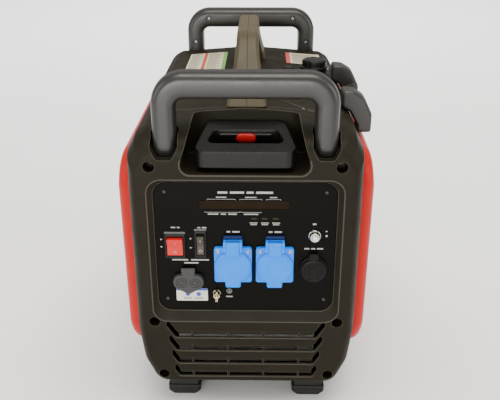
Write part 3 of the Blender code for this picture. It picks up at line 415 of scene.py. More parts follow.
def mixed(tree, factor, first, second):
    """Mix two colours, each a plain colour or another node's output."""
    made = tree.nodes.new("ShaderNodeMix")
    made.data_type = "RGBA"
    for socket, value in ((made.inputs[6], first), (made.inputs[7], second)):
        if isinstance(value, tuple):
            socket.default_value = (*value, 1.0)
        else:
            tree.links.new(value, socket)
    if isinstance(factor, float):
        made.inputs[0].default_value = factor
    else:
        tree.links.new(factor, made.inputs[0])
    return made.outputs[2]


def edge_factor(tree, radius):
    """How far a point is on a corner: the rounded normal against the flat one."""
    rounded = add_node(tree, "ShaderNodeBevel", samples=6, Radius=radius)
    flat = tree.nodes.new("ShaderNodeNewGeometry")
    match = add_node(tree, "ShaderNodeVectorMath", operation="DOT_PRODUCT")
    tree.links.new(rounded.outputs["Normal"], match.inputs[0])
    tree.links.new(flat.outputs["True Normal"], match.inputs[1])
    return ranged(tree, match.outputs["Value"], 1.0, 0.0, 0.86, 0.985)


def finish(name, colour, second, roughness, spread=0.06, metallic=0.0, grain=900.0, grain_depth=0.00006,
           mottle=14.0, wave_depth=0.0, edge=0.0007, coat=0.0, specular=0.5, scratch=0.0, speck=None,
           edge_highlight_and_wear=None):
    """A moulded, cast or plated surface.

    colour and second are mixed by a cloudy pattern; spread is how far the
    roughness wanders; grain is the fine texture per metre and its depth;
    the lighter edge colour is painted on corners and creases: a painted
    highlight along the edges, partly rubbed wear.
    """
    material = bpy.data.materials.new(name)
    material.use_nodes = True
    tree = material.node_tree
    shader = tree.nodes["Principled BSDF"]
    shader.inputs["Metallic"].default_value = metallic
    shader.inputs["Specular IOR Level"].default_value = specular
    shader.inputs["Coat Weight"].default_value = coat
    shader.inputs["Coat Roughness"].default_value = 0.12
    where = tree.nodes.new("ShaderNodeTexCoord").outputs["Object"]
    clouds = noise(tree, where, mottle, 4.0, 0.6)
    paint = mixed(tree, ranged(tree, clouds, 0.0, 1.0), colour, second)
    if speck:
        dots = noise(tree, where, grain * 0.8, 1.0)
        paint = mixed(tree, ranged(tree, dots, 0.0, 0.55, 0.60, 0.75), paint, speck)
    # corners and creases get a lighter colour: a painted highlight along the edges, partly rubbed wear
    if edge_highlight_and_wear:
        paint = mixed(tree, edge_factor(tree, 0.0014), paint, edge_highlight_and_wear)
    tree.links.new(paint, shader.inputs["Base Color"])
    smear = noise(tree, where, mottle * 3.1, 3.0)
    rough = ranged(tree, smear, roughness - spread, roughness + spread)
    if scratch > 0.0:
        stretch = tree.nodes.new("ShaderNodeMapping")
        stretch.inputs["Scale"].default_value = (1.0, 1.0, 0.03)
        tree.links.new(where, stretch.inputs["Vector"])
        lines = noise(tree, stretch.outputs["Vector"], 2200.0, 2.0)
        joint = add_node(tree, "ShaderNodeMath", operation="ADD")
        tree.links.new(rough, joint.inputs[0])
        tree.links.new(ranged(tree, lines, -scratch, scratch), joint.inputs[1])
        rough = joint.outputs[0]
    tree.links.new(rough, shader.inputs["Roughness"])
    round_edges = add_node(tree, "ShaderNodeBevel", samples=4, Radius=edge)
    fine = add_node(tree, "ShaderNodeBump", Strength=0.5, Distance=grain_depth)
    tree.links.new(noise(tree, where, grain, 2.0, 0.5), fine.inputs["Height"])
    tree.links.new(round_edges.outputs["Normal"], fine.inputs["Normal"])
    normal = fine.outputs["Normal"]
    if wave_depth > 0.0:
        swell = add_node(tree, "ShaderNodeBump", Strength=0.35, Distance=wave_depth)
        tree.links.new(noise(tree, where, 22.0, 1.0), swell.inputs["Height"])
        tree.links.new(normal, swell.inputs["Normal"])
        normal = swell.outputs["Normal"]
    tree.links.new(normal, shader.inputs["Normal"])
    return material


FINISHES = {
    # the shell's lighter edge colour is a painted highlight on its corners and creases, partly rubbed wear
    "shell": finish("textured_shell_plastic", (0.0095, 0.0080, 0.0044), (0.0130, 0.0108, 0.0062), 0.52,
                    0.05, grain=1100.0, grain_depth=0.00009, wave_depth=0.0003, specular=0.10,
                    speck=(0.024, 0.020, 0.012), edge_highlight_and_wear=(0.090, 0.084, 0.066)),
    # light lips: a painted highlight along the lips of the slots and recesses
    "highlight_lip": finish("rubbed_lip_plastic", (0.046, 0.041, 0.030), (0.034, 0.030, 0.021), 0.48, 0.05,
                       grain=1100.0, grain_depth=0.00005, specular=0.25),
    "strap": finish("brown_strap_plastic", (0.046, 0.0370, 0.0185), (0.060, 0.0480, 0.0245), 0.50, 0.05,
                    grain=1100.0, grain_depth=0.00009, specular=0.30),
    "handle": finish("satin_handle_plastic", (0.0135, 0.0126, 0.0110), (0.0175, 0.0164, 0.0145), 0.36, 0.05,
                     grain=1500.0, grain_depth=0.00005, wave_depth=0.0002, specular=0.55),
    "red": finish("red_side_plastic", (0.42, 0.0065, 0.0035), (0.39, 0.0058, 0.0030), 0.38, 0.03,
                  grain=700.0, grain_depth=0.00003, specular=0.16, mottle=9.0),
    "button_red": finish("button_red_plastic", (0.62, 0.0150, 0.0150), (0.54, 0.0110, 0.0110), 0.34, 0.05,
                         mottle=90.0, grain_depth=0.000004, coat=0.15, specular=0.25),
    "gloss": finish("glossy_black_plastic", (0.0045, 0.0042, 0.0036), (0.0065, 0.0060, 0.0050), 0.30, 0.05,
                    mottle=40.0, grain_depth=0.000003, edge=0.0005, specular=0.25),
    "panel": finish("panel_film", (0.0020, 0.0017, 0.0011), (0.0030, 0.0025, 0.0016), 0.40, 0.04,
                    grain=1800.0, grain_depth=0.00003, specular=0.07),
    "amber": finish("amber_window_plastic", (0.0120, 0.0058, 0.0009), (0.0080, 0.0038, 0.0006), 0.30, 0.03,
                    mottle=60.0, grain_depth=0.000002, specular=0.08),
    "blue": finish("blue_socket_plastic", (0.0006, 0.225, 0.920), (0.0005, 0.200, 0.850), 0.46, 0.05,
                   mottle=60.0, grain=1500.0, grain_depth=0.00004, specular=0.10),
    "navy": finish("navy_hinge_plastic", (0.0040, 0.0150, 0.080), (0.0030, 0.0110, 0.060), 0.45, 0.05,
                   mottle=90.0, specular=0.20),
    "rubber": finish("black_rubber", (0.0090, 0.0086, 0.0072), (0.0130, 0.0122, 0.0104), 0.60, 0.08,
                     mottle=50.0, grain=1300.0, grain_depth=0.00010, specular=0.30),
    "tyre": finish("tyre_rubber", (0.0090, 0.0090, 0.0088), (0.0180, 0.0165, 0.0145), 0.74, 0.08,
                   mottle=40.0, grain=1000.0, grain_depth=0.00014, specular=0.3),
    "grey_rubber": finish("grey_cover_rubber", (0.030, 0.030, 0.031), (0.040, 0.040, 0.041), 0.55, 0.06,
                          mottle=80.0, grain=1600.0, grain_depth=0.00006, specular=0.30),
    "white": finish("white_plastic", (0.78, 0.76, 0.72), (0.70, 0.68, 0.63), 0.32, 0.05, mottle=120.0),
    "chrome": finish("bright_tube", (0.60, 0.59, 0.57), (0.54, 0.53, 0.51), 0.16, 0.05, 1.0, grain=2600.0,
                     grain_depth=0.000002, scratch=0.04),
    "brass": finish("plated_brass", (0.72, 0.62, 0.38), (0.64, 0.52, 0.30), 0.26, 0.07, 1.0, mottle=150.0,
                    grain_depth=0.000004, scratch=0.05),
    "steel": finish("zinc_steel", (0.50, 0.50, 0.50), (0.40, 0.40, 0.41), 0.38, 0.08, 1.0, mottle=60.0,
                    grain_depth=0.00003, scratch=0.06),
    "dark_steel": finish("blackened_steel", (0.060, 0.058, 0.055), (0.110, 0.105, 0.098), 0.40, 0.08, 1.0,
                         mottle=200.0, grain_depth=0.00003),
    "aluminium": finish("cast_aluminium", (0.56, 0.56, 0.55), (0.46, 0.46, 0.46), 0.52, 0.08, 1.0,
                        mottle=30.0, grain=800.0, grain_depth=0.0002),
    "copper": finish("lacquered_copper", (0.52, 0.21, 0.10), (0.42, 0.15, 0.07), 0.36, 0.08, 1.0,
                     mottle=90.0),
    "tank": finish("tank_plastic", (0.070, 0.070, 0.064), (0.090, 0.090, 0.080), 0.48, 0.06, mottle=20.0),
    "dull_black": finish("dull_black_plastic", (0.0032, 0.0030, 0.0025), (0.0050, 0.0046, 0.0038), 0.42,
                         0.05, mottle=60.0, grain_depth=0.000004, specular=0.14),
    "eco_brown": finish("smoked_brown_plastic", (0.021, 0.016, 0.008), (0.028, 0.021, 0.010), 0.26, 0.05,
                        mottle=120.0, coat=0.3),
    "pale_mark": finish("pale_moulded_mark", (0.62, 0.36, 0.30), (0.50, 0.28, 0.22), 0.40, 0.05,
                        mottle=200.0),
    "cord": finish("starter_cord", (0.42, 0.39, 0.33), (0.30, 0.27, 0.22), 0.85, grain=1600.0,
                   grain_depth=0.0002),
    "ink": finish("white_print", (0.40, 0.395, 0.37), (0.33, 0.325, 0.30), 0.55, 0.05, mottle=300.0),
    "grey_ink": finish("grey_print", (0.085, 0.083, 0.078), (0.060, 0.058, 0.055), 0.50, 0.05,
                       mottle=200.0),
    "dim_lamp": finish("unlit_lamp", (0.026, 0.020, 0.010), (0.018, 0.014, 0.007), 0.30, 0.05, mottle=300.0,
                       specular=0.12),
    "label_white": finish("label_white", (0.70, 0.68, 0.60), (0.62, 0.60, 0.52), 0.42, 0.05, mottle=40.0),
    "label_cream": finish("label_cream", (0.46, 0.43, 0.30), (0.40, 0.37, 0.25), 0.42, 0.05, mottle=40.0),
    "label_red": finish("label_red", (0.42, 0.060, 0.035), (0.34, 0.045, 0.028), 0.42, 0.05, mottle=60.0),
    "label_green": finish("label_green", (0.12, 0.30, 0.07), (0.09, 0.24, 0.05), 0.42, 0.05, mottle=60.0),
    "label_blue": finish("label_blue", (0.030, 0.070, 0.42), (0.022, 0.055, 0.34), 0.42, 0.05, mottle=80.0),
    "label_grey": finish("label_grey", (0.24, 0.22, 0.17), (0.18, 0.17, 0.13), 0.45, 0.05, mottle=80.0),
}


# ------------------------------------------------------------ Geometry Nodes
def grower(name, sizes):
    """A Geometry Nodes tree with named sizes, and a Finish for all it makes."""
    tree = bpy.data.node_groups.new(name, "GeometryNodeTree")
    tree.interface.new_socket("Geometry", in_out="INPUT", socket_type="NodeSocketGeometry")
    kinds = {float: "NodeSocketFloat", int: "NodeSocketInt", tuple: "NodeSocketVector"}
    for label, value in sizes.items():
        socket = tree.interface.new_socket(label, in_out="INPUT", socket_type=kinds[type(value)])
        socket.default_value = value
    tree.interface.new_socket("Finish", in_out="INPUT", socket_type="NodeSocketMaterial")
    tree.interface.new_socket("Geometry", in_out="OUTPUT", socket_type="NodeSocketGeometry")
    given = tree.nodes.new("NodeGroupInput")
    return tree, given.outputs


def maths(tree, operation, first, second):
    made = add_node(tree, "ShaderNodeMath", operation=operation)
    for socket, value in zip(made.inputs, (first, second)):
        if isinstance(value, (int, float)):
            socket.default_value = value
        else:
            tree.links.new(value, socket)
    return made.outputs[0]


def wire(tree, node, **links):
    for name, output in links.items():
        tree.links.new(output, node.inputs[name.replace("_", " ")])
    return node


def geo(tree, kind, **links):
    """A Geometry Nodes step of this kind, with its inputs wired by name."""
    return wire(tree, tree.nodes.new("GeometryNode" + kind), **links)


def vector_of(tree, **parts):
    """A vector whose X, Y or Z come from other nodes."""
    return wire(tree, tree.nodes.new("ShaderNodeCombineXYZ"), **parts).outputs[0]


def close_tree(tree, given, geometry, keep_base=False):
    """Realize, set the finish and hand the geometry out."""
    real = geo(tree, "RealizeInstances", Geometry=geometry)
    coated = geo(tree, "SetMaterial", Geometry=real.outputs[0], Material=given["Finish"])
    result = coated.outputs[0]
    if keep_base:
        both = geo(tree, "JoinGeometry")
        tree.links.new(given["Geometry"], both.inputs[0])
        tree.links.new(result, both.inputs[0])
        result = both.outputs[0]
    out = tree.nodes.new("NodeGroupOutput")
    tree.links.new(result, out.inputs[0])
    return tree


def screw_tree():
    """A pan-head screw with a cross recess on every point, turned at random.

    Each point's 'facing' attribute is the way its head looks.
    """
    tree, given = grower("cross_head_screws", {"Head Radius": 0.003, "Head Height": 0.0015,
                                               "Recess Depth": 0.0008, "Seed": 7})
    rim = geo(tree, "MeshCone")
    rim.inputs["Vertices"].default_value = 28
    rim.fill_type = "NGON"
    tree.links.new(maths(tree, "MULTIPLY", given["Head Radius"], 0.72), rim.inputs["Radius Top"])
    wire(tree, rim, Radius_Bottom=given["Head Radius"], Depth=given["Head Height"])
    bars = []
    for turn in (0.0, math.pi / 2):
        size = vector_of(tree, X=maths(tree, "MULTIPLY", given["Head Radius"], 1.15),
                         Y=maths(tree, "MULTIPLY", given["Head Radius"], 0.24),
                         Z=maths(tree, "MULTIPLY", given["Recess Depth"], 2.0))
        bar = geo(tree, "MeshCube", Size=size)
        lift = vector_of(tree, Z=given["Head Height"])
        place = geo(tree, "Transform", Geometry=bar.outputs[0], Translation=lift)
        place.inputs["Rotation"].default_value = (0.0, 0.0, turn)
        bars.append(place.outputs[0])
    cut = geo(tree, "MeshBoolean")
    cut.operation = "DIFFERENCE"
    cut.solver = "EXACT"
    tree.links.new(rim.outputs[0], cut.inputs["Mesh 1"])
    for bar in bars:
        tree.links.new(bar, cut.inputs["Mesh 2"])
    facing = geo(tree, "InputNamedAttribute")
    facing.data_type = "FLOAT_VECTOR"
    facing.inputs["Name"].default_value = "facing"
    align = tree.nodes.new("FunctionNodeAlignRotationToVector")
    align.axis = "Z"
    tree.links.new(facing.outputs["Attribute"], align.inputs["Vector"])
    points = geo(tree, "MeshToPoints", Mesh=given["Geometry"])
    put = geo(tree, "InstanceOnPoints", Points=points.outputs[0], Instance=cut.outputs[0],
              Rotation=align.outputs[0])
    spin = tree.nodes.new("FunctionNodeRandomValue")
    spin.data_type = "FLOAT"
    spin.inputs[2].default_value = 0.0
    spin.inputs[3].default_value = math.pi / 2
    tree.links.new(given["Seed"], spin.inputs["Seed"])
    about = vector_of(tree, Z=spin.outputs[1])
    turned_heads = geo(tree, "RotateInstances", Instances=put.outputs[0], Rotation=about)
    return close_tree(tree, given, turned_heads.outputs[0])


def ring_tree():
    """Small blocks set round a circle in the XY plane, then turned and moved into place."""
    tree, given = grower("blocks_round_a_ring", {"Count": 24, "Radius": 0.02,
                                                 "Block Size": (0.001, 0.001, 0.01), "Slant": 0.0,
                                                 "Turn": (0.0, 0.0, 0.0), "Centre": (0.0, 0.0, 0.0)})
    ring = geo(tree, "MeshCircle", Vertices=given["Count"], Radius=given["Radius"])
    block = geo(tree, "MeshCube", Size=given["Block Size"])
    align = tree.nodes.new("FunctionNodeAlignRotationToVector")
    align.axis = "X"
    align.pivot_axis = "Z"
    tree.links.new(geo(tree, "InputPosition").outputs[0], align.inputs["Vector"])
    put = geo(tree, "InstanceOnPoints", Points=ring.outputs[0], Instance=block.outputs[0],
              Rotation=align.outputs[0])
    lean = vector_of(tree, X=given["Slant"])
    leaned = geo(tree, "RotateInstances", Instances=put.outputs[0], Rotation=lean)
    place = geo(tree, "Transform", Geometry=leaned.outputs[0], Translation=given["Centre"],
                Rotation=given["Turn"])
    return close_tree(tree, given, place.outputs[0], keep_base=True)


def slat_tree():
    """Bars in rows and columns in the XZ plane, each leaning about X."""
    tree, given = grower("rows_of_bars", {"Columns": 4, "Rows": 4, "Column Pitch": 0.05, "Row Pitch": 0.02,
                                          "Bar Size": (0.002, 0.002, 0.01), "Lean": 0.0,
                                          "Centre": (0.0, 0.0, 0.0)})
    width = maths(tree, "MULTIPLY", given["Column Pitch"], maths(tree, "SUBTRACT", given["Columns"], 1.0))
    height = maths(tree, "MULTIPLY", given["Row Pitch"], maths(tree, "SUBTRACT", given["Rows"], 1.0))
    grid = geo(tree, "MeshGrid", Size_X=width, Size_Y=height, Vertices_X=given["Columns"],
               Vertices_Y=given["Rows"])
    upright = geo(tree, "Transform", Geometry=grid.outputs[0])
    upright.inputs["Rotation"].default_value = (math.pi / 2, 0.0, 0.0)
    bar = geo(tree, "MeshCube", Size=given["Bar Size"])
    lean = vector_of(tree, X=given["Lean"])
    points = geo(tree, "MeshToPoints", Mesh=upright.outputs[0])
    put = geo(tree, "InstanceOnPoints", Points=points.outputs[0], Instance=bar.outputs[0])
    leaned = geo(tree, "RotateInstances", Instances=put.outputs[0], Rotation=lean)
    place = geo(tree, "Transform", Geometry=leaned.outputs[0], Translation=given["Centre"])
    return close_tree(tree, given, place.outputs[0], keep_base=True)


def rope_tree():
    """A laid cord along a path: three strands twisted round each other."""
    tree, given = grower("laid_cord", {"Radius": 0.0022, "Twists Per Metre": 90.0})
    circle_node = geo(tree, "CurvePrimitiveCircle")
    circle_node.inputs["Resolution"].default_value = 18
    share = geo(tree, "SplineParameter").outputs["Factor"]
    wave = maths(tree, "COSINE", maths(tree, "MULTIPLY", share, 6.0 * math.pi), 0.0)
    swell = maths(tree, "ADD", maths(tree, "MULTIPLY", wave, 0.10), 0.90)
    scale = maths(tree, "MULTIPLY", swell, given["Radius"])
    spot = geo(tree, "InputPosition").outputs[0]
    grown = add_node(tree, "ShaderNodeVectorMath", operation="SCALE")
    tree.links.new(spot, grown.inputs[0])
    tree.links.new(scale, grown.inputs["Scale"])
    profile = geo(tree, "SetPosition", Geometry=circle_node.outputs[0], Position=grown.outputs[0])
    length = geo(tree, "SplineParameter").outputs["Length"]
    twist = maths(tree, "MULTIPLY", maths(tree, "MULTIPLY", length, given["Twists Per Metre"]),
                  2.0 * math.pi)
    tilt = geo(tree, "SetCurveTilt", Curve=given["Geometry"], Tilt=twist)
    tube = geo(tree, "CurveToMesh", Curve=tilt.outputs[0], Profile_Curve=profile.outputs[0])
    tube.inputs["Fill Caps"].default_value = True
    return close_tree(tree, given, tube.outputs[0])


TREES = {"screw": screw_tree(), "ring": ring_tree(), "slat": slat_tree(), "rope": rope_tree()}


def grow(item, tree_name, material, **sizes):
    """Run a tree on an object and keep the plain mesh that it makes."""
    tree = TREES[tree_name]
    step = item.modifiers.new(tree_name, "NODES")
    step.node_group = tree
    wanted = {name.replace("_", " "): value for name, value in sizes.items()}
    wanted["Finish"] = FINISHES[material]
    for socket in tree.interface.items_tree:
        if socket.item_type == "SOCKET" and socket.in_out == "INPUT" and socket.name in wanted:
            step[socket.identifier] = wanted[socket.name]
    bpy.context.view_layer.update()
    evaluated = item.evaluated_get(bpy.context.evaluated_depsgraph_get())
    mesh = bpy.data.meshes.new_from_object(evaluated)
    name = item.name
    bpy.data.objects.remove(item, do_unlink=True)
    return placed(name, mesh)


def empty_mesh(name):
    return mesh_object(name, ([], []))


def screws(name, places, material, radius, height, body="root", seed=7):
    """Screws at (point, facing) places, as one piece."""
    seats = mesh_object(name, ([place for place, facing in places], []))
    facing = seats.data.attributes.new("facing", "FLOAT_VECTOR", "POINT")
    for i, (place, way) in enumerate(places):
        facing.data[i].vector = way
    heads = grow(seats, "screw", material, Head_Radius=radius, Head_Height=height,
                 Recess_Depth=height * 0.55, Seed=seed)
    smoothed(heads, 30.0)
    return settle(heads, body)


# -------------------------------------------------------------------- casing
END_SIDE = (0.028, 0.014)        # length and height of the end's side rounding
END_TOP = (0.050, 0.028)
END_BOTTOM = (0.020, 0.006)
REAR_SIDE = (0.080, 0.020)
OUTER_DEPTHS = (0.0, 0.0004, 0.0012, 0.0026, 0.0046, 0.0072, 0.0104, 0.0142, 0.0186, 0.0234, 0.0286, 0.0350,
                0.0420, 0.0500)
INNER_DEPTHS = (0.0, 0.0060, 0.0220, 0.0500)


def rounding(depth, shape):
    """How far an elliptical edge has drawn in at this depth from the end."""
    length, height = shape
    if depth >= length:
        return 0.0
    return height * (1.0 - math.sqrt(1.0 - (1.0 - depth / length) ** 2))


def casing_ring(y, depth, side, inset, steps):
    half = HALF_WIDTH - rounding(depth, side) - inset
    top = TOP_Z - rounding(depth, END_TOP) - inset
    low = BOTTOM_Z + rounding(depth, END_BOTTOM) + inset
    right = [
        (half - 0.022, low, 0.015),
        (half - 0.006, low + 0.035, 0.030),
        (half, 0.125, 0.0),
        (half, 0.325, 0.0),
        (half - 0.0005, top - 0.0255, 0.008),
        (half - 0.011, top - 0.0065, 0.006),
        (half - 0.022, top, 0.008),
    ]
    left = [(-x, z, radius) for x, z, radius in reversed(right)]
    outline = filleted(right + [(0.0, top + CROWN, 0.300)] + left, steps)
    return [(x, y, z) for x, z in outline]


def casing_solid(inset, depths, steps):
    front = FRONT_Y + inset
    rear = REAR_Y - inset
    rings = [casing_ring(front + d, d, END_SIDE, inset, steps) for d in depths]
    rear_depths = [REAR_SIDE[0], 0.066] + list(reversed(depths))
    rings += [casing_ring(rear - d, d, REAR_SIDE, inset, steps) for d in rear_depths]
    return loft(rings)


def shell_piece(name, node, blocks, region, cut=(), add=()):
    hollow = mesh_object("hollow", casing_solid(WALL, INNER_DEPTHS, 2))
    combine(hollow, "DIFFERENCE", blocks)
    item = mesh_object(name, casing_solid(0.0, OUTER_DEPTHS, 5))
    combine(item, "INTERSECT", [region])
    combine(item, "DIFFERENCE", [hollow])
    combine(item, "UNION", add)
    return piece(name, item, "shell", stands_for=[node], cut=cut, angle=30.0)


POCKET_BACK_Y = -0.178
POCKET_FLOOR_Z = 0.359
SCREW_WELL_RADIUS = 0.0072
SCREW_WELL_DEPTH = 0.0215
SCREW_WELLS = ((0.1195, 0.3690), (0.1240, 0.1430), (0.1150, 0.0560))
SLOT_COUNT = 4
SLOT_TOP_Z = 0.1185
SLOT_PITCH = 0.0216
SLOT_HEIGHT = 0.0078


def pocket_outline(extra):
    low = POCKET_FLOOR_Z - extra
    return filleted([(-0.084 - extra, low, 0.012), (0.084 + extra, low, 0.012),
                     (0.062 + extra, 0.440, 0.004), (-0.062 - extra, 0.440, 0.004)], 8)


def slot_band(low, height, half, rise):
    """A long slot whose two ends climb outwards."""
    run = rise * 0.65
    corners = [
        (-half, low, 0.004), (half, low, 0.004), (half + run, low + rise, 0.001),
        (half + run, low + rise + height, 0.002), (half + run - 0.003, low + rise + height, 0.001),
        (half - 0.003, low + height, 0.003), (-half + 0.003, low + height, 0.003),
        (-half - run + 0.003, low + rise + height, 0.001), (-half - run, low + rise + height, 0.002),
        (-half - run, low + rise, 0.001),
    ]
    return filleted(corners, 3)


def slot_sizes(i):
    """Lower edge, half width and climb of one intake slot, counted from the top."""
    return SLOT_TOP_Z - i * SLOT_PITCH, 0.0965 - i * 0.0012, 0.018 - i * 0.0028


def leg_notch(x, grow_by):
    outline = filleted([
        (x - 0.0080, 0.3795, 0.004), (x + 0.0080, 0.3795, 0.004), (x + 0.0165, 0.3935, 0.008),
        (x + 0.0165, 0.440, 0.0), (x - 0.0165, 0.440, 0.0), (x - 0.0165, 0.3935, 0.008),
    ], 5)
    return grown_outline(outline, grow_by)


def front_housing():
    blocks = [
        along_y(pocket_outline(WALL), -0.300, POCKET_BACK_Y + WALL),
        along_y(rounded_box(-0.1250, 0.1250, 0.1410, 0.3530, 0.020), -0.300, PANEL_Y + 0.006),
    ]
    lip = layers(FRONT_Y, (-0.0020, 0.0030), (0.0, 0.0012), (0.0006, 0.0005), (0.0016, 0.0))
    pocket = pocket_outline(0.0)
    mouth = [(y, -grow_by) for y, grow_by in lip] + [(POCKET_BACK_Y, 0.0)]
    mouth_cut = mesh_object("pocket", stepped(pocket, mouth))
    plan = filleted([(-0.100, -0.300, 0.0), (0.100, -0.300, 0.0), (0.090, -0.213, 0.020),
                     (0.064, POCKET_BACK_Y, 0.018), (-0.064, POCKET_BACK_Y, 0.018),
                     (-0.090, -0.213, 0.020)], 10)
    combine(mouth_cut, "INTERSECT", [along_z(plan, 0.340, 0.450)])
    cuts = [mouth_cut]
    for side in (-1, 1):
        x = side * LEG_X
        blocks.append(cylinder("Z", (x, LOOP_FRONT_Y), LEG_WALL_RADIUS, LEG_WALL_FLOOR_Z, ABOVE_TOP_Z, 16))
        blocks.append(box(x - LEG_WALL_RADIUS, x + LEG_WALL_RADIUS, -0.300, LOOP_FRONT_Y, LEG_WALL_FLOOR_Z,
                          ABOVE_TOP_Z))
        cuts.append(cylinder("Z", (x, LOOP_FRONT_Y), LEG_HOLE_RADIUS, LEG_HOLE_FLOOR_Z, ABOVE_TOP_Z))
        rings = [(FRONT_Y - 0.0020, 0.0034), (FRONT_Y + 0.0002, 0.0018), (FRONT_Y + 0.0040, 0.0012),
                 (FRONT_Y + 0.0100, 0.0004), (LOOP_FRONT_Y, 0.0)]
        cuts.append(loft([[(a, y, b) for a, b in leg_notch(x, grow_by)] for y, grow_by in rings]))
        for a, z in SCREW_WELLS:
            blocks.append(cylinder("Y", (side * a, z), 0.0100, -0.300, -0.2440, 16))
            cuts.append(bore("Y", (side * a, z), SCREW_WELL_RADIUS, FRONT_Y, SCREW_WELL_DEPTH, 0.0005))
        tube = rounded_box(side * 0.036 - 0.0087, side * 0.036 + 0.0087, 0.3803, 0.3917, 0.0052)
        cuts.append(along_y(tube, POCKET_BACK_Y - 0.010, POCKET_BACK_Y + 0.010))
    mouth = [(0.1262, 0.1423, 0.3530, FRONT_Y - 0.0015), (0.1245, 0.1440, 0.3514, FRONT_Y),
             (0.1237, 0.1449, 0.3507, FRONT_Y + 0.0006), (0.1229, 0.1460, 0.3500, FRONT_Y + 0.0014),
             (0.1178, 0.1580, 0.3477, PANEL_Y - 0.0006), (0.1172, 0.1588, 0.3472, PANEL_Y),
             (0.1172, 0.1588, 0.3472, PANEL_Y + 0.020)]
    cuts.append(loft([[(x, y, z) for x, z in rounded_box(-half, half, low, high, PANEL_CORNER, 10)]
                      for half, low, high, y in mouth]))
    for i in range(SLOT_COUNT):
        low, half, rise = slot_sizes(i)
        band = slot_band(low, SLOT_HEIGHT, half, rise)
        cuts.append(stepped(band, layers(FRONT_Y, (-0.0010, -0.0016), (0.0001, -0.0005), (0.0006, 0.0),
                                         (0.0034, 0.0))))
        inner = rounded_box(-half + 0.002, half - 0.002, low + 0.0006, low + SLOT_HEIGHT - 0.0006, 0.002, 3)
        cuts.append(along_y(inner, FRONT_Y - 0.002, FRONT_Y + 0.010))
    region = box(-0.2, 0.2, -0.3, SEAM_FRONT_Y, 0.0, 0.5)
    shell_piece("front_housing_shell", "front_housing", blocks, region, cut=cuts)
    slot_fittings()
    recess_lips()


RIB_PITCH = 0.049


def bead_along(outline, inner, outer, y_near, y_far, closed):
    """A rounded lip that follows an outline in the XZ plane, on its outer side."""
    rings = []
    last = len(outline) - 1
    for i, (x, z) in enumerate(outline):
        before = Vector(outline[i - 1] if closed or i > 0 else outline[0])
        after = Vector(outline[(i + 1) % len(outline)] if closed or i < last else outline[last])
        along = (after - before).normalized()
        out = Vector((along.y, -along.x))
        middle, half_y = (inner + outer) / 2, (y_near + y_far) / 2
        section = ((inner, y_far), (inner, half_y), (middle, y_near), (outer, half_y), (outer, y_far))
        rings.append([(x + out.x * d, y, z + out.y * d) for d, y in section])
    return loft(rings, closed)


def recess_lips():
    """The raised edges of the panel's recess and of the trolley pocket's sill, light in colour as a painted
    highlight.
    """
    mouth = rounded_box(-0.1237, 0.1237, 0.1449, 0.3507, PANEL_CORNER, 12)
    foot = rounded_box(-0.1172, 0.1172, 0.1588, 0.3472, PANEL_CORNER, 12)
    sill_top = 0.3780
    lean = (sill_top - POCKET_FLOOR_Z) * (0.084 - 0.062) / (0.440 - POCKET_FLOOR_Z)
    sill = filleted([(-0.084 + lean, sill_top, 0.0), (-0.084, POCKET_FLOOR_Z, 0.012),
                     (0.084, POCKET_FLOOR_Z, 0.012), (0.084 - lean, sill_top, 0.0)], 10)
    beads = [bead_along(mouth, 0.0002, 0.0020, FRONT_Y - 0.0006, FRONT_Y + 0.0005, True),
             bead_along(foot, -0.0002, 0.0014, PANEL_Y - 0.0010, PANEL_Y + 0.0006, True),
             bead_along(sill, 0.0004, 0.0026, FRONT_Y - 0.0007, FRONT_Y + 0.0006, False)]
    piece("recess_lips", joined(beads), "highlight_lip", angle=80.0)


def slot_fittings():
    """The intake's ribs, the louvres behind them and the lips under the slots, the lips light in colour as
    a painted highlight.
    """
    middle_z = SLOT_TOP_Z - 1.5 * SLOT_PITCH + SLOT_HEIGHT / 2
    ribs = grow(empty_mesh("intake_ribs"), "slat", "shell", Columns=4, Rows=4, Column_Pitch=RIB_PITCH,
                Row_Pitch=SLOT_PITCH, Bar_Size=(0.0030, 0.0052, SLOT_HEIGHT - 0.0006),
                Centre=(0.0, FRONT_Y + 0.0042, middle_z))
    settle(smoothed(ribs, 30.0), "root")
    louvres = grow(empty_mesh("intake_louvres"), "slat", "shell", Columns=1, Rows=4, Column_Pitch=0.05,
                   Row_Pitch=SLOT_PITCH, Bar_Size=(0.186, 0.0012, 0.0090), Lean=math.radians(-32.0),
                   Centre=(0.0, FRONT_Y + 0.0100, middle_z))
    settle(smoothed(louvres, 30.0), "root")
    lips = []
    for i in range(SLOT_COUNT):
        low, half, rise = slot_sizes(i)
        run = rise * 0.65
        edge = filleted([(-half - run, low + rise, 0.0), (-half, low, 0.004), (half, low, 0.004),
                         (half + run, low + rise, 0.0)], 4)
        top = [(x, z - 0.0005) for x, z in edge]
        under = [(x, z - 0.0019) for x, z in reversed(edge)]
        lips.append(stepped(top[::-1] + under[::-1],
                            layers(FRONT_Y, (-0.0006, 0.0003), (-0.0003, 0.0), (0.0004, 0.0))))
    piece("intake_lips", joined(lips), "highlight_lip")


EXHAUST = (0.060, 0.205)
REAR_SCREW_WELLS = ((0.110, 0.3600), (0.113, 0.1360))
WHEEL_ARCH_RADIUS = 0.0590


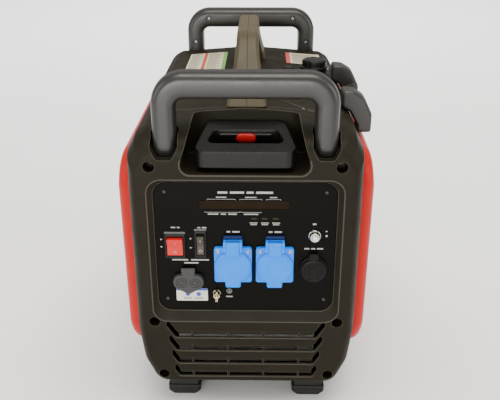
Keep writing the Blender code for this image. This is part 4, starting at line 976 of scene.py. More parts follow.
def rear_housing():
    blocks = []
    cuts = [bore("Y", EXHAUST, 0.0160, REAR_Y, -0.030, 0.0008)]
    for side in (-1, 1):
        x = side * LEG_X
        blocks.append(cylinder("Z", (x, LOOP_REAR_Y), LEG_WALL_RADIUS, LEG_WALL_FLOOR_Z, ABOVE_TOP_Z, 16))
        cuts.append(cylinder("Z", (x, LOOP_REAR_Y), LEG_HOLE_RADIUS, LEG_HOLE_FLOOR_Z, ABOVE_TOP_Z))
        low, high = sorted((side * 0.1170, side * 0.200))
        blocks.append(cylinder("X", (WHEEL_Y, WHEEL_Z), 0.0620, low, high, 48))
        low, high = sorted((side * 0.1200, side * 0.200))
        cuts.append(cylinder("X", (WHEEL_Y, WHEEL_Z), WHEEL_ARCH_RADIUS, low, high, 96))
        for a, z in REAR_SCREW_WELLS:
            blocks.append(cylinder("Y", (side * a, z), 0.0100, 0.2350, 0.300, 16))
            cuts.append(bore("Y", (side * a, z), SCREW_WELL_RADIUS, REAR_Y, -SCREW_WELL_DEPTH, 0.0005))
    cuts.append(cylinder("X", (WHEEL_Y, WHEEL_Z), 0.0053, -0.150, 0.150, 32))
    for i in range(6):
        low = 0.150 + i * 0.020
        for x_low, x_high in ((-0.085, -0.032), (-0.028, 0.025)):
            slot = rounded_box(x_low, x_high, low, low + 0.009, 0.003, 4)
            cuts.append(stepped(slot, [(REAR_Y + 0.001, -0.0014), (REAR_Y, -0.0004), (REAR_Y - 0.0006, 0.0),
                                       (0.240, 0.0)]))
    region = box(-0.2, 0.2, SEAM_REAR_Y, 0.3, 0.0, 0.5)
    shell_piece("rear_housing_shell", "rear_housing", blocks, region, cut=cuts)
    vents = grow(empty_mesh("rear_vent_screen"), "slat", "dark_steel", Columns=28, Rows=1,
                 Column_Pitch=0.0040, Row_Pitch=0.02, Bar_Size=(0.0010, 0.0010, 0.118),
                 Centre=(-0.030, REAR_Y - 0.0060, 0.2045))
    settle(smoothed(vents, 30.0), "root")


def middle_shells():
    top_cuts = [
        bore("Z", (CAP_X, CAP_Y), 0.0178, CAP_BASE_Z - 0.0028, -0.040),
        cylinder("Z", (VENT_X, VENT_Y), 0.0042, 0.380, 0.440),
        straight_tube(ROPE_EXIT - ROPE_OUT * 0.020, ROPE_EXIT + ROPE_OUT * 0.010, 0.0044, 24),
    ]
    region = box(-0.2, 0.2, SEAM_FRONT_Y + SEAM_GAP, SEAM_REAR_Y - SEAM_GAP, SEAM_TOP_Z, 0.5)
    shell_piece("top_cover_shell", "top_cover", [], region, cut=top_cuts)
    region = box(-0.2, 0.2, SEAM_FRONT_Y + SEAM_GAP, SEAM_REAR_Y - SEAM_GAP, 0.0, SEAM_BOTTOM_Z)
    shell_piece("bottom_tray_shell", "bottom_tray", [], region)
    post = cylinder("X", (CRANK_Y, CRANK_Z), 0.0080, 0.085, 0.1485, 32)
    for name, side, add in (("left_body", -1, []), ("right_body", 1, [post])):
        x_low, x_high = sorted((0.0, side * 0.2))
        region = box(x_low, x_high, SEAM_FRONT_Y + SEAM_GAP, SEAM_REAR_Y - SEAM_GAP,
                     SEAM_BOTTOM_Z + SEAM_GAP, SEAM_TOP_Z - SEAM_GAP)
        shell_piece(name + "_wall", name + "_shell", [], region, add=add)


COVER_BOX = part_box("right_side_cover")
COVER_EDGE_RUN = 0.016          # the rim climbs to full height over this


def side_covers():
    """Pillow-shaped panels with a small stepped rim."""
    depth_steps = (0.0, 0.0002, 0.0006, 0.0013, 0.0024, 0.0038, 0.0056, 0.0078, 0.0105, 0.0135, 0.016,
                   0.024, 0.036, 0.052, 0.072, 0.096, 0.120)
    low_y, high_y = COVER_BOX[0].y, COVER_BOX[1].y
    low_z, high_z = 0.068, COVER_BOX[1].z
    base_x = COVER_BOX[0].x
    bulge = 0.0215
    middle_z = (low_z + high_z) / 2
    middle_y = (low_y + high_y) / 2

    def skin(inset, drop):
        rings = []
        for d in depth_steps:
            away = max(0.0, 1.0 - d / COVER_EDGE_RUN)
            rise = math.sqrt(1.0 - away * away)
            reach = d + inset
            corner = max(0.048 - reach, 0.006)
            outline = rounded_box(low_y + reach, high_y - reach, low_z + reach, high_z - reach, corner, 10)
            ring = []
            for y, z in outline:
                fade = 1.0 - 0.30 * ((z - middle_z - 0.010) / 0.150) ** 2
                ring.append((base_x + max(bulge * rise * fade - drop, 0.0), y, z))
            rings.append(ring)
        return rings

    outer = skin(0.0, 0.0)
    inner = skin(0.0025, 0.0025)
    peak = bulge * (1.0 - 0.30 * (0.010 / 0.150) ** 2)
    tip_out = [(base_x + peak, middle_y, middle_z)]
    tip_in = [(base_x + peak - 0.0025, middle_y, middle_z)]
    shape = loft([tip_out] + outer[::-1] + inner[1:] + [tip_in])
    well = cylinder("X", (WHEEL_Y, WHEEL_Z), 0.0665, 0.120, 0.200, 96)
    for name, flip in (("right", False), ("left", True)):
        piece(f"{name}_side_cover_skin", mirrored(shape) if flip else shape, "red",
              stands_for=[f"{name}_side_cover"], cut=[mirrored(well) if flip else well], angle=50.0)


# ------------------------------------------------------------------- handles
def bent_path(start_a, bar, start_b, foot, bend, steps=14):
    left = arc((start_a + bend, bar - bend), bend, 180.0, 90.0, steps)
    right = arc((start_b - bend, bar - bend), bend, 90.0, 0.0, steps)
    return [(start_a, foot)] + left + right + [(start_b, foot)]


def path_normals(path):
    normals = []
    for i in range(len(path)):
        a = Vector(path[max(i - 1, 0)])
        b = Vector(path[min(i + 1, len(path) - 1)])
        tangent = (b - a).normalized()
        normals.append(Vector((-tangent.y, tangent.x)))
    return normals


LEG_TIP = 0.019
SQUARENESS = 2.9          # of the handles' cross section; 2 is an ellipse


def power_point(angle, power):
    c, s = math.cos(angle), math.sin(angle)
    return (math.copysign(abs(c) ** (2.0 / power), c), math.copysign(abs(s) ** (2.0 / power), s))


def half_loop(y_centre, side):
    """One clamshell of a loop handle, with an eased edge along the join."""
    path = bent_path(-LEG_X, LOOP_BAR_Z, LEG_X, LOOP_FOOT_Z + LEG_TIP, LOOP_BEND)
    normals = path_normals(path)
    for share in (0.78, 0.56, 0.36, 0.20, 0.08, 0.0):
        height = LOOP_FOOT_Z + share * LEG_TIP
        path = [(-LEG_X, height)] + path + [(LEG_X, height)]
        normals = [normals[0]] + normals + [normals[-1]]
    rings = []
    for (along, height), normal in zip(path, normals):
        across = LOOP_HALF_LEG + (LOOP_HALF_THICK - LOOP_HALF_LEG) * abs(normal.y)
        tip = max(0.0, 1.0 - (height - LOOP_FOOT_Z) / LEG_TIP)
        scale = 1.0 - 0.50 * tip * tip - (0.06 if tip > 0.99 else 0.0)
        ring = []
        section = [(1.0 - 0.0006 / across, 0.0)]
        section += [power_point(math.pi * a / 22, SQUARENESS) for a in range(1, 22)]
        section += [(-1.0 + 0.0006 / across, 0.0)]
        for out, deep in section:
            out *= across * scale
            y = y_centre + side * (SEAM_GAP / 2 + deep * (LOOP_HALF_THICK - SEAM_GAP / 2) * scale)
            ring.append((along + normal.x * out, y, height + normal.y * out))
        rings.append(ring)
    return loft(rings)


def loop_handles():
    for label, y_centre in (("front", LOOP_FRONT_Y), ("rear", LOOP_REAR_Y)):
        outer = -1 if label == "front" else 1
        for half, side in (("outer", outer), ("inner", -outer)):
            wells = loop_wells(y_centre, side) if half == "inner" else []
            piece(f"{label}_loop_{half}_half", half_loop(y_centre, side), "handle",
                  stands_for=[f"{label}_handle_{half}"], cut=wells, angle=50.0)
    loop_screws()


LOOP_SCREWS = ((0.0755, LOOP_BAR_Z), (LEG_X, 0.425))
LOOP_WELL_RADIUS = 0.0052
LOOP_WELL_DEPTH = 0.0030


def loop_wells(y_centre, way):
    """Cutters for the screw wells in a loop's inner face; way is -1 or 1 along Y."""
    face = y_centre + way * LOOP_HALF_THICK
    return [bore("Y", (side * x, z), LOOP_WELL_RADIUS, face, -way * LOOP_WELL_DEPTH, 0.0003)
            for x, z in LOOP_SCREWS for side in (-1, 1)]


def loop_screws():
    for label, y_centre, way in (("rear", LOOP_REAR_Y, -1.0), ("front", LOOP_FRONT_Y, 1.0)):
        depth = y_centre + way * (LOOP_HALF_THICK - LOOP_WELL_DEPTH)
        seats = [((side * x, depth, z), (0.0, way, 0.0)) for x, z in LOOP_SCREWS for side in (-1, 1)]
        screws(f"{label}_loop_screws", seats, "steel", 0.0028, 0.0016, seed=3)


ARCH_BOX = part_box("carry_handle_right")
ARCH_FRONT_Y = -0.1525
ARCH_REAR_Y = 0.1275
ARCH_LEAN = 0.066
ARCH_HALF_THICK = 0.014
ARCH_HALF_WIDTH = 0.015
ARCH_FLARE = 0.012
ARCH_FLARE_HEIGHT = 0.080


def carry_handle():
    """The arched strap on the top: two clamshells that widen towards leaning feet."""
    foot = ARCH_BOX[0].z
    bar = ARCH_BOX[1].z - ARCH_HALF_THICK
    corners = []
    for share in (0.0, 0.12, 0.24, 0.40, 0.56, 0.72):
        drift = ARCH_LEAN * share
        corners.append((drift, foot + (bar - foot) * share))
    path = [(ARCH_FRONT_Y + a, z, 0.0) for a, z in corners]
    path += [(ARCH_FRONT_Y + ARCH_LEAN, bar, 0.026), (ARCH_REAR_Y - ARCH_LEAN, bar, 0.026)]
    path += [(ARCH_REAR_Y - a, z, 0.0) for a, z in reversed(corners)]
    path = filleted(path, 14)
    normals = path_normals(path)
    normals[0] = Vector((-1.0, 0.0))
    normals[-1] = Vector((1.0, 0.0))
    rings = []
    for (along, height), normal in zip(path, normals):
        low = max(0.0, 1.0 - (height - foot) / ARCH_FLARE_HEIGHT)
        width = ARCH_HALF_WIDTH + ARCH_FLARE * low * low
        thick = ARCH_HALF_THICK + 0.004 * low * low
        outline = filleted([(SEAM_GAP / 2, -thick, 0.0), (width, -thick, 0.006),
                            (width, thick, 0.006), (SEAM_GAP / 2, thick, 0.0)], 7)
        rings.append([(x, along + normal.x * t, height + normal.y * t) for x, t in outline])
    half = loft(rings)
    for name, shape in (("right", half), ("left", mirrored(half))):
        piece(f"carry_arch_{name}_half", shape, "strap", stands_for=[f"carry_handle_{name}"], angle=40.0)
    sides = []
    for y in (-0.052, 0.027):
        for side in (-1, 1):
            sides.append(((side * (ARCH_HALF_WIDTH - 0.0001), y, bar), (float(side), 0.0, 0.0)))
    screws("carry_arch_screws", sides, "dark_steel", 0.0030, 0.0010, seed=5)


GRIP_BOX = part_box("telescopic_grip")
BUTTON = middle_of("release_button")


def trolley_grip():
    front, back = GRIP_BOX[0].y, GRIP_BOX[1].y
    half_front, half_back = GRIP_BOX[1].x, 0.050
    outline = filleted([(-half_front, front, 0.013), (half_front, front, 0.013),
                        (half_back, back, 0.011), (-half_back, back, 0.011)], 10)

    def top_of(y):
        return 0.387 + 0.20 * (y - front)

    low = GRIP_BOX[0].z
    grip = loft([[(x, y, low) for x, y in outline], [(x, y, top_of(y)) for x, y in outline]])
    hole = filleted([(-0.050, -0.2405, 0.008), (0.050, -0.2405, 0.008), (0.041, -0.208, 0.008),
                     (-0.041, -0.208, 0.008)], 8)
    item = mesh_object("grip", grip)
    combine(item, "DIFFERENCE", [along_z(hole, 0.350, 0.420)])
    bevelled(item, 0.0062, 6, 50.0)
    boss_profile = [(0.0, -0.0380), (0.0028, -0.0376), (0.0050, -0.0360), (0.0060, -0.0334),
                    (0.0062, -0.0310)]
    boss_profile += [(radius, -place) for radius, place in reversed(boss_profile)]
    combine(item, "UNION", [turned(boss_profile, "X", (-0.2042, BUTTON.z + 0.0042), 40)])
    seat = rounded_box(-0.0134, 0.0134, BUTTON.z - 0.0069, BUTTON.z + 0.0069, 0.0066, 10)
    piece("trolley_grip_handle", item, "gloss", "grip_frame", stands_for=["telescopic_grip"],
          cut=[along_y(seat, -0.212, -0.197)], angle=40.0)
    button = rounded_box(-0.0131, 0.0131, BUTTON.z - 0.0066, BUTTON.z + 0.0066, 0.0064, 12)
    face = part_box("release_button")[0].y
    steps = layers(face, (0.0, 0.0030), (0.0002, 0.0018), (0.0006, 0.0008), (0.0012, 0.0002),
                   (0.0018, 0.0), (0.0095, 0.0))
    piece("release_button_cap", stepped(button, steps), "button_red", "release_button",
          stands_for=["release_button"], angle=40.0)
    for name in ("left", "right"):
        shine(f"inner_tube_{name}", f"slide_tube_{name}", "chrome", "grip_frame")


def shine(node, name, material, body, angle=35.0):
    """A carried-over shape: its own merged copy, smoothed, in a finer finish."""
    source = frame["nodes"][node]
    edit = bmesh.new()
    edit.from_mesh(source.data)
    bmesh.ops.remove_doubles(edit, verts=edit.verts, dist=0.00001)
    bmesh.ops.dissolve_limit(edit, angle_limit=math.radians(0.5), verts=edit.verts, edges=edit.edges)
    mesh = bpy.data.meshes.new(name)
    edit.to_mesh(mesh)
    edit.free()
    return piece(name, placed(name, mesh), material, body, [node], angle=angle)


# ------------------------------------------------------------ feet and wheels
def feet():
    """Stepped rubber blocks whose lower corners are cut back at the sides."""
    for name in ("left", "right"):
        low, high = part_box(f"front_foot_{name}")
        steps = ((0.0, 0.0066, 0.0008), (0.0005, 0.0060, 0.0003), (0.0050, 0.0008, 0.0),
                 (0.0056, 0.0003, 0.0), (0.0064, 0.0, 0.0), (0.0090, 0.0, 0.0), (0.0094, 0.0008, 0.0008),
                 (0.0100, 0.0008, 0.0008), (0.0104, 0.0, 0.0), (0.0150, 0.0, 0.0),
                 (0.0156, 0.0004, 0.0004), (0.0158, 0.0022, 0.0022), (high.z, 0.0025, 0.0025))
        rings = []
        for z, inset_x, inset_y in steps:
            outline = rounded_box(low.x + inset_x, high.x - inset_x, low.y + inset_y, high.y - inset_y,
                                  0.0035, 6)
            rings.append([(x, y, z) for x, y in outline])
        piece(f"front_foot_{name}_pad", loft(rings), "rubber", stands_for=[f"front_foot_{name}"],
              angle=30.0)


def wheels():
    shine("wheel_axle", "wheel_axle_rod", "steel", "root", angle=40.0)
    centre = (WHEEL_Y, WHEEL_Z)
    for name, side in (("left", -1), ("right", 1)):
        middle = side * WHEEL_X
        low = middle - WHEEL_HALF_WIDTH
        high = middle + WHEEL_HALF_WIDTH
        hub_radius = 0.0385
        shoulder = layers(WHEEL_RADIUS, (-0.0022, low + 0.0035), (-0.0012, low + 0.0060),
                          (-0.0012, high - 0.0060), (-0.0022, high - 0.0035))
        wall = [(WHEEL_RADIUS - 0.0050, high - 0.0008), (WHEEL_RADIUS - 0.0085, high), (0.0420, high),
                (0.0400, high - 0.0010), (hub_radius + 0.0003, high - 0.0010),
                (hub_radius + 0.0003, low + 0.0010), (0.0400, low + 0.0010), (0.0420, low),
                (WHEEL_RADIUS - 0.0085, low), (WHEEL_RADIUS - 0.0050, low + 0.0008)]
        tyre = painted(mesh_object("tyre", turned(shoulder + wall, "X", centre, 96, True)), "tyre")
        for row in (-1, 1):
            tyre = grow(tyre, "ring", "tyre", Count=44, Radius=WHEEL_RADIUS - 0.0016,
                        Block_Size=(0.0030, 0.0046, 0.0105), Slant=row * 0.45, Turn=(0.0, math.pi / 2, 0.0),
                        Centre=(middle + row * 0.0064, *centre))
        piece(f"wheel_{name}_tread", tyre, "tyre", f"wheel_{name}", stands_for=[f"wheel_{name}_tyre"],
              angle=40.0)
        out = high if side > 0 else low
        into = low if side > 0 else high
        way = 1.0 if side > 0 else -1.0
        profile = [(hub_radius, into + way * 0.0020), (hub_radius, out - way * 0.0024),
                   (hub_radius - 0.0006, out - way * 0.0020), (0.0345, out - way * 0.0020),
                   (0.0335, out - way * 0.0030), (0.0320, out - way * 0.0085), (0.0150, out - way * 0.0085),
                   (0.0128, out - way * 0.0070), (0.0120, out - way * 0.0010), (0.0112, out - way * 0.0003),
                   (0.0053, out - way * 0.0003), (0.0053, into + way * 0.0020)]
        hub = painted(mesh_object("hub", turned(profile, "X", centre, 96, True)), "handle")
        hub = grow(hub, "ring", "handle", Count=8, Radius=0.0225, Block_Size=(0.0215, 0.0034, 0.0050),
                   Turn=(0.0, math.pi / 2, 0.0), Centre=(out - way * 0.0066, *centre))
        piece(f"wheel_{name}_rim", hub, "handle", f"wheel_{name}", stands_for=[f"wheel_{name}_hub"],
              angle=40.0)


# ------------------------------------------------------------- control panel
PRINT_THICK = 0.00012
PANEL_CUT_NEAR = -0.28
PANEL_CUT_FAR = -0.25
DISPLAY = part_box("display_window")
RUN_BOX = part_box("run_switch_bezel")
ECO_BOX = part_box("eco_switch_bezel")
SOCKETS = {name: middle_of(f"socket_{name}").x for name in ("left", "right")}
SOCKET_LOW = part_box("socket_left")[0]
SOCKET_HIGH_Z = 0.257
SOCKET_MID_Z = (SOCKET_LOW.z + SOCKET_HIGH_Z) / 2
LID_HINGE_Y = -0.2735
LID_HINGE_Z = 0.2645
JACKS = (-0.0845, -0.0665)
JACK_Z = 0.206
DC = middle_of("dc_outlet")
BREAKER = middle_of("dc_breaker_body")
BREAKER_Z = middle_of("dc_breaker_button").z
STUD = middle_of("ground_stud")
FACE_Y = PANEL_Y - SEAM_GAP            # back face of what sits on the panel


def panel():
    holes = [along_y(rounded_box(-0.0593, 0.0568, 0.3097, 0.3218, 0.0015, 3), PANEL_CUT_NEAR,
                     PANEL_CUT_FAR)]
    for low, high in (RUN_BOX, ECO_BOX):
        outline = rounded_box(low.x + 0.0012, high.x - 0.0012, low.z + 0.0012, high.z - 0.0012, 0.001, 3)
        holes.append(along_y(outline, PANEL_CUT_NEAR, PANEL_CUT_FAR))
    for x in SOCKETS.values():
        holes.append(cylinder("Y", (x, SOCKET_MID_Z), 0.0225, PANEL_CUT_NEAR, PANEL_CUT_FAR))
    holes.append(along_y(rounded_box(-0.0937, -0.0573, 0.1985, 0.2135, 0.004, 4), PANEL_CUT_NEAR,
                         PANEL_CUT_FAR))
    holes.append(cylinder("Y", (DC.x, 0.225), 0.0145, PANEL_CUT_NEAR, PANEL_CUT_FAR))
    holes.append(cylinder("Y", (BREAKER.x, BREAKER_Z), 0.0064, PANEL_CUT_NEAR, PANEL_CUT_FAR))
    holes.append(cylinder("Y", (STUD.x, STUD.z), 0.0028, PANEL_CUT_NEAR, PANEL_CUT_FAR, 32))
    plate = rounded_box(-PANEL_HALF, PANEL_HALF, PANEL_BOX[0].z, PANEL_BOX[1].z, PANEL_CORNER, 12)
    steps = [(PANEL_Y, 0.0005), (PANEL_Y + 0.0002, 0.0001), (PANEL_Y + 0.0005, 0.0), (PANEL_BOX[1].y, 0.0)]
    piece("panel_plate", stepped(plate, steps), "panel", stands_for=["control_panel"], cut=holes)
    low, high = DISPLAY
    window = rounded_box(low.x, high.x, low.z, high.z, 0.0012, 4)
    steps = [(low.y, 0.0006), (low.y + 0.0002, 0.0002), (low.y + 0.0005, 0.0), (high.y, 0.0)]
    piece("display_lens", stepped(window, steps), "amber", stands_for=["display_window"])
    corners = [(0.1025, 0.3338), (0.1049, 0.1770)]
    seats = [((side * x, PANEL_Y, z), (0.0, -1.0, 0.0)) for x, z in corners for side in (-1, 1)]
    screws("panel_corner_screws", seats, "dark_steel", 0.0026, 0.0012, seed=11)
    panel_print()


def bar(x_low, x_high, z_low, z_high, depth=PRINT_THICK):
    return box(x_low, x_high, PANEL_Y - depth, PANEL_Y + 0.0001, z_low, z_high)


def word_row(x_low, x_high, z_low, z_high, words):
    """Plain dashes with gaps, in place of a printed line."""
    total = sum(words) + 0.35 * (len(words) - 1)
    unit = (x_high - x_low) / total
    bars = []
    at = x_low
    for width in words:
        bars.append(bar(at, at + width * unit, z_low, z_high))
        at += (width + 0.35) * unit
    return bars


def bracket(x_low, x_high, z, drop):
    """A thin line with a short tick at each end."""
    tick = 0.0005
    low, high = sorted((z, z + drop))
    return [bar(x_low, x_high, z - tick / 2, z + tick / 2), bar(x_low, x_low + tick, low, high),
            bar(x_high - tick, x_high, low, high)]


def arrow(x, z, way):
    tip = x + way * 0.0016
    base = x - way * 0.0014
    outline = [(base, z - 0.0013), (tip, z), (base, z + 0.0013)]
    return along_y(outline if way > 0 else outline[::-1], PANEL_Y - PRINT_THICK, PANEL_Y + 0.0001)


def panel_print():
    marks = word_row(-0.0350, 0.0350, 0.3316, 0.3346, (1.4, 2.0, 1.0, 2.4))
    for low, high, label in ((-0.0485, -0.0125, 0.0065), (-0.0074, 0.0212, 0.0072),
                             (0.0262, 0.0449, 0.0046)):
        middle = (low + high) / 2
        marks += bracket(low, high, 0.3238, -0.0014)
        marks.append(bar(middle - label, middle + label, 0.3258, 0.3272))
    for low, high, words in ((-0.0520, -0.0068, (1.6, 0.8, 1.3)), (-0.0060, 0.0205, (1.0,))):
        marks += bracket(low, high, 0.3056, 0.0012)
        marks += word_row(low + 0.0040, high - 0.0040, 0.3022, 0.3038, words)
    for x in (0.0105, 0.0250, 0.0394):
        for z, half in ((0.2908, 0.0050), (0.2884, 0.0042)):
            marks.append(bar(x - half, x + half, z - 0.0006, z + 0.0006))
    marks += word_row(-0.0962, -0.0848, 0.2828, 0.2844, (1.0, 0.6))
    marks += word_row(-0.0622, -0.0502, 0.2828, 0.2844, (0.7, 1.0))
    for x in SOCKETS.values():
        marks += word_row(x - 0.0082, x + 0.0088, 0.2768, 0.2790, (0.7, 1.4))
    marks.append(bar(0.0864, 0.0910, 0.2884, 0.2906))
    marks += word_row(0.0766, 0.1010, 0.2530, 0.2550, (1.0, 0.8, 1.2))
    marks += word_row(-0.0968, -0.0480, 0.2354, 0.2374, (2.0, 2.2))
    marks.append(bar(-0.0808, -0.0620, 0.2308, 0.2328))
    marks.append(bar(0.1034, 0.1056, 0.2784, 0.2800))
    marks.append(cylinder("Y", (0.1048, 0.2727), 0.0015, PANEL_Y - PRINT_THICK, PANEL_Y + 0.0001, 20))
    marks += [arrow(-0.1092, 0.2662, 1.0), arrow(-0.1092, 0.2554, 1.0), arrow(-0.0710, 0.2675, 1.0),
              arrow(-0.0710, 0.2543, 1.0)]
    marks += earth_mark(-0.0218, 0.1890)
    marks.append(bar(-0.0262, -0.0174, 0.1797, 0.1815))
    piece("panel_print", joined(marks), "ink")
    lamps = []
    for x in (0.0110, 0.0245, 0.0387):
        outline = rounded_box(x - 0.0040, x + 0.0040, 0.2954, 0.2982, 0.0013, 5)
        lamps.append(stepped(outline, layers(PANEL_Y, (-0.0006, 0.0005), (-0.0003, 0.0), (0.0002, 0.0))))
    piece("warning_lamps", joined(lamps), "dim_lamp")
    plug_card()


def earth_mark(x, z):
    """A ring round an upright bar over three shortening bars."""
    ring = turned([(0.0036, PANEL_Y - PRINT_THICK), (0.0036, PANEL_Y + 0.0001), (0.0030, PANEL_Y + 0.0001),
                   (0.0030, PANEL_Y - PRINT_THICK)], "Y", (x, z), 40, True)
    bars = [bar(x - 0.0003, x + 0.0003, z, z + 0.0024)]
    for i, half in enumerate((0.0019, 0.0013, 0.0006)):
        bars.append(bar(x - half, x + half, z - 0.0003 - i * 0.0009, z + 0.0002 - i * 0.0009))
    return [ring] + bars


def plug_card():
    """The white card under the paired outlet, with a blue band and two dots."""
    outline = rounded_box(-0.0928, -0.0508, 0.1738, 0.1929, 0.0012, 4)
    piece("outlet_card", stepped(outline, [(PANEL_Y - 0.0003, 0.0), (PANEL_Y + 0.0001, 0.0)]),
          "label_white")
    top = PANEL_Y - 0.0003
    band = box(-0.0926, -0.0510, top - PRINT_THICK, top + 0.0001, 0.1896, 0.1928)
    dots = [cylinder("Y", (x, 0.1842), 0.0031, top - PRINT_THICK, top + 0.0001, 28)
            for x in (-0.0777, -0.0630)]
    piece("outlet_card_blue", joined([band] + dots), "label_blue")
    lines = grow(empty_mesh("outlet_card_lines"), "slat", "label_grey", Columns=2, Rows=2,
                 Column_Pitch=0.0150, Row_Pitch=0.0020, Bar_Size=(0.0110, 0.0003, 0.0008),
                 Centre=(-0.0703, top - 0.0001, 0.1778))
    settle(lines, "root")


def switches():
    for label, (low, high) in (("run", RUN_BOX), ("eco", ECO_BOX)):
        x = (low.x + high.x) / 2
        z = (low.z + high.z) / 2
        half_x = (high.x - low.x) / 2
        half_z = (high.z - low.z) / 2
        rim = rounded_box(low.x, high.x, low.z, high.z, 0.0016, 6)
        steps = layers(FACE_Y, (-0.0022, 0.0010), (-0.0019, 0.0003), (-0.0013, 0.0), (0.0, 0.0))
        body = rounded_box(low.x + 0.0016, high.x - 0.0016, low.z + 0.0016, high.z - 0.0016, 0.001, 3)
        well = rounded_box(low.x + 0.0026, high.x - 0.0026, low.z + 0.0034, high.z - 0.0034, 0.001, 3)
        well_cut = stepped(well, layers(FACE_Y, (-0.0040, -0.0014), (-0.0022, -0.0004), (-0.0016, 0.0),
                                        (0.012, 0.0)))
        piece(f"{label}_switch_frame", stepped(rim, steps), "gloss", stands_for=[f"{label}_switch_bezel"],
              add=[along_y(body, FACE_Y - 0.0010, FACE_Y + 0.018)], cut=[well_cut])
        rocker(label, x, z, half_x - 0.0030, half_z - 0.0053)
        top_bar = box(x - half_x - 0.0004, x + half_x + 0.0004, PANEL_Y - 0.0010, PANEL_Y + 0.0001,
                      high.z - 0.0001, high.z + 0.0030)
        piece(f"{label}_switch_brow", top_bar, "grey_ink", bevel=0.0004)


def rocker(label, x, z, half_x, half_z):
    """A see-saw key: two flats that meet in a shallow valley, with marks."""
    pivot = Vector((x, FACE_Y + 0.0040, z))
    rise = 0.0022
    upper = [(FACE_Y - 0.0020 - rise * math.sin(0.5 * math.pi * i / 8) ** 1.3, z + half_z * i / 8)
             for i in range(9)]
    lower = [(y, 2 * z - height) for y, height in reversed(upper[1:])]
    side_view = lower + upper + layers(FACE_Y, (0.0035, z + half_z), (0.0080, z), (0.0035, z - half_z))
    tilt = math.radians(8.0)
    shape = turned_about(along_x(side_view, x - half_x, x + half_x), pivot, "X", tilt)
    material = "button_red" if label == "run" else "eco_brown"
    piece(f"{label}_rocker_key", shape, material, f"{label}_rocker",
          [f"{label}_switch_rocker"], bevel=0.0005)
    face = FACE_Y - 0.0038
    marks = [box(x - 0.0003, x + 0.0003, face - 0.0002, face + 0.0012, z + half_z * 0.42,
                 z + half_z * 0.72)]
    marks.append(turned(off(face, (0.0021, -0.0002), (0.0021, 0.0012), (0.0015, 0.0012),
                            (0.0015, -0.0002)), "Y", (x, z - half_z * 0.56), 28, True))
    marks = [turned_about(mark, pivot, "X", tilt) for mark in marks]
    piece(f"{label}_rocker_marks", joined(marks), "pale_mark", f"{label}_rocker")


def sockets():
    for name, x in SOCKETS.items():
        centre = (x, SOCKET_MID_Z)
        half = SOCKETS["right"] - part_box("socket_right")[0].x
        flange = rounded_box(x - half, x + half, SOCKET_LOW.z, SOCKET_HIGH_Z, 0.0035, 6)
        steps = layers(FACE_Y, (-0.0058, 0.0010), (-0.0055, 0.0003), (-0.0049, 0.0), (0.0, 0.0))
        drum = cylinder("Y", centre, 0.0219, FACE_Y - 0.003, FACE_Y + 0.026)
        ears = []
        for side in (-1, 1):
            ear = rounded_box(LID_HINGE_Y - 0.0035, FACE_Y, 0.2530, LID_HINGE_Z + 0.0040, 0.0032, 6)
            low, high = sorted((x + side * 0.0088, x + side * 0.0122))
            ears.append(along_x(ear, low, high))
        ears.append(box(x - 0.0100, x + 0.0100, FACE_Y - 0.0040, FACE_Y - 0.0002, 0.2530,
                        LID_HINGE_Z + 0.0039))
        cuts = [cylinder("Y", centre, 0.01975, FACE_Y - 0.020, FACE_Y + 0.0140)]
        for side in (-1, 1):
            cuts.append(cylinder("Y", (x + side * 0.0095, SOCKET_MID_Z), 0.0026, FACE_Y, FACE_Y + 0.022,
                                 24))
        piece(f"socket_{name}_frame", stepped(flange, steps), "blue", stands_for=[f"socket_{name}"],
              add=[drum] + ears, cut=cuts, angle=30.0)
        brow = rounded_box(FACE_Y - 0.0046, FACE_Y, LID_HINGE_Z + 0.0040, LID_HINGE_Z + 0.0090, 0.0012, 4)
        piece(f"socket_{name}_brow", along_x(brow, x - 0.0118, x + 0.0118), "navy")
        seats = [((x + side * 0.0192, FACE_Y - 0.0056, 0.2515), (0.0, -1.0, 0.0)) for side in (-1, 1)]
        screws(f"socket_{name}_screws", seats, "steel", 0.0028, 0.0010, seed=13)
        contacts = []
        for z, z_way in ((SOCKET_MID_Z + 0.0185, -1), (SOCKET_MID_Z - 0.0185, 1)):
            low, high = sorted((z, z + z_way * 0.0022))
            contacts.append(box(x - 0.0035, x + 0.0035, FACE_Y + 0.0005, FACE_Y + 0.0138, low, high))
        piece(f"socket_{name}_contacts", joined(contacts), "brass", bevel=0.0004)
        socket_lid(name, x)


def socket_lid(name, x):
    """A round splash lid with a strap over its hinge and a finger tab below."""
    lid_z, radius = 0.2305, 0.0240
    back = FACE_Y - 0.0058 - SEAM_GAP
    rim = arc((0.0, lid_z), radius, -62.0, 242.0, 64)
    outline = [(x + a, z) for a, z in rim]
    outline += [(x - 0.0104, 0.2078), (x - 0.0100, 0.2020), (x - 0.0085, 0.2005), (x + 0.0085, 0.2005),
                (x + 0.0100, 0.2020), (x + 0.0104, 0.2078)]
    rings = []
    for y, scale in layers(back, (0.0, 1.0), (-0.0030, 1.0), (-0.0040, 0.992), (-0.0048, 0.972),
                           (-0.0052, 0.945), (-0.0053, 0.900), (-0.0060, 0.885), (-0.0060, 0.860)):
        rings.append([(x + (a - x) * scale, y, lid_z + (z - lid_z) * scale) for a, z in outline])
    arm = rounded_box(LID_HINGE_Y - 0.0034, LID_HINGE_Y + 0.0034, 0.2480, LID_HINGE_Z + 0.0034, 0.0030, 8)
    piece(f"socket_{name}_splash_lid", loft(rings), "blue", f"socket_lid_{name}",
          stands_for=[f"socket_{name}_lid"], add=[along_x(arm, x - 0.0084, x + 0.0084)], angle=30.0)


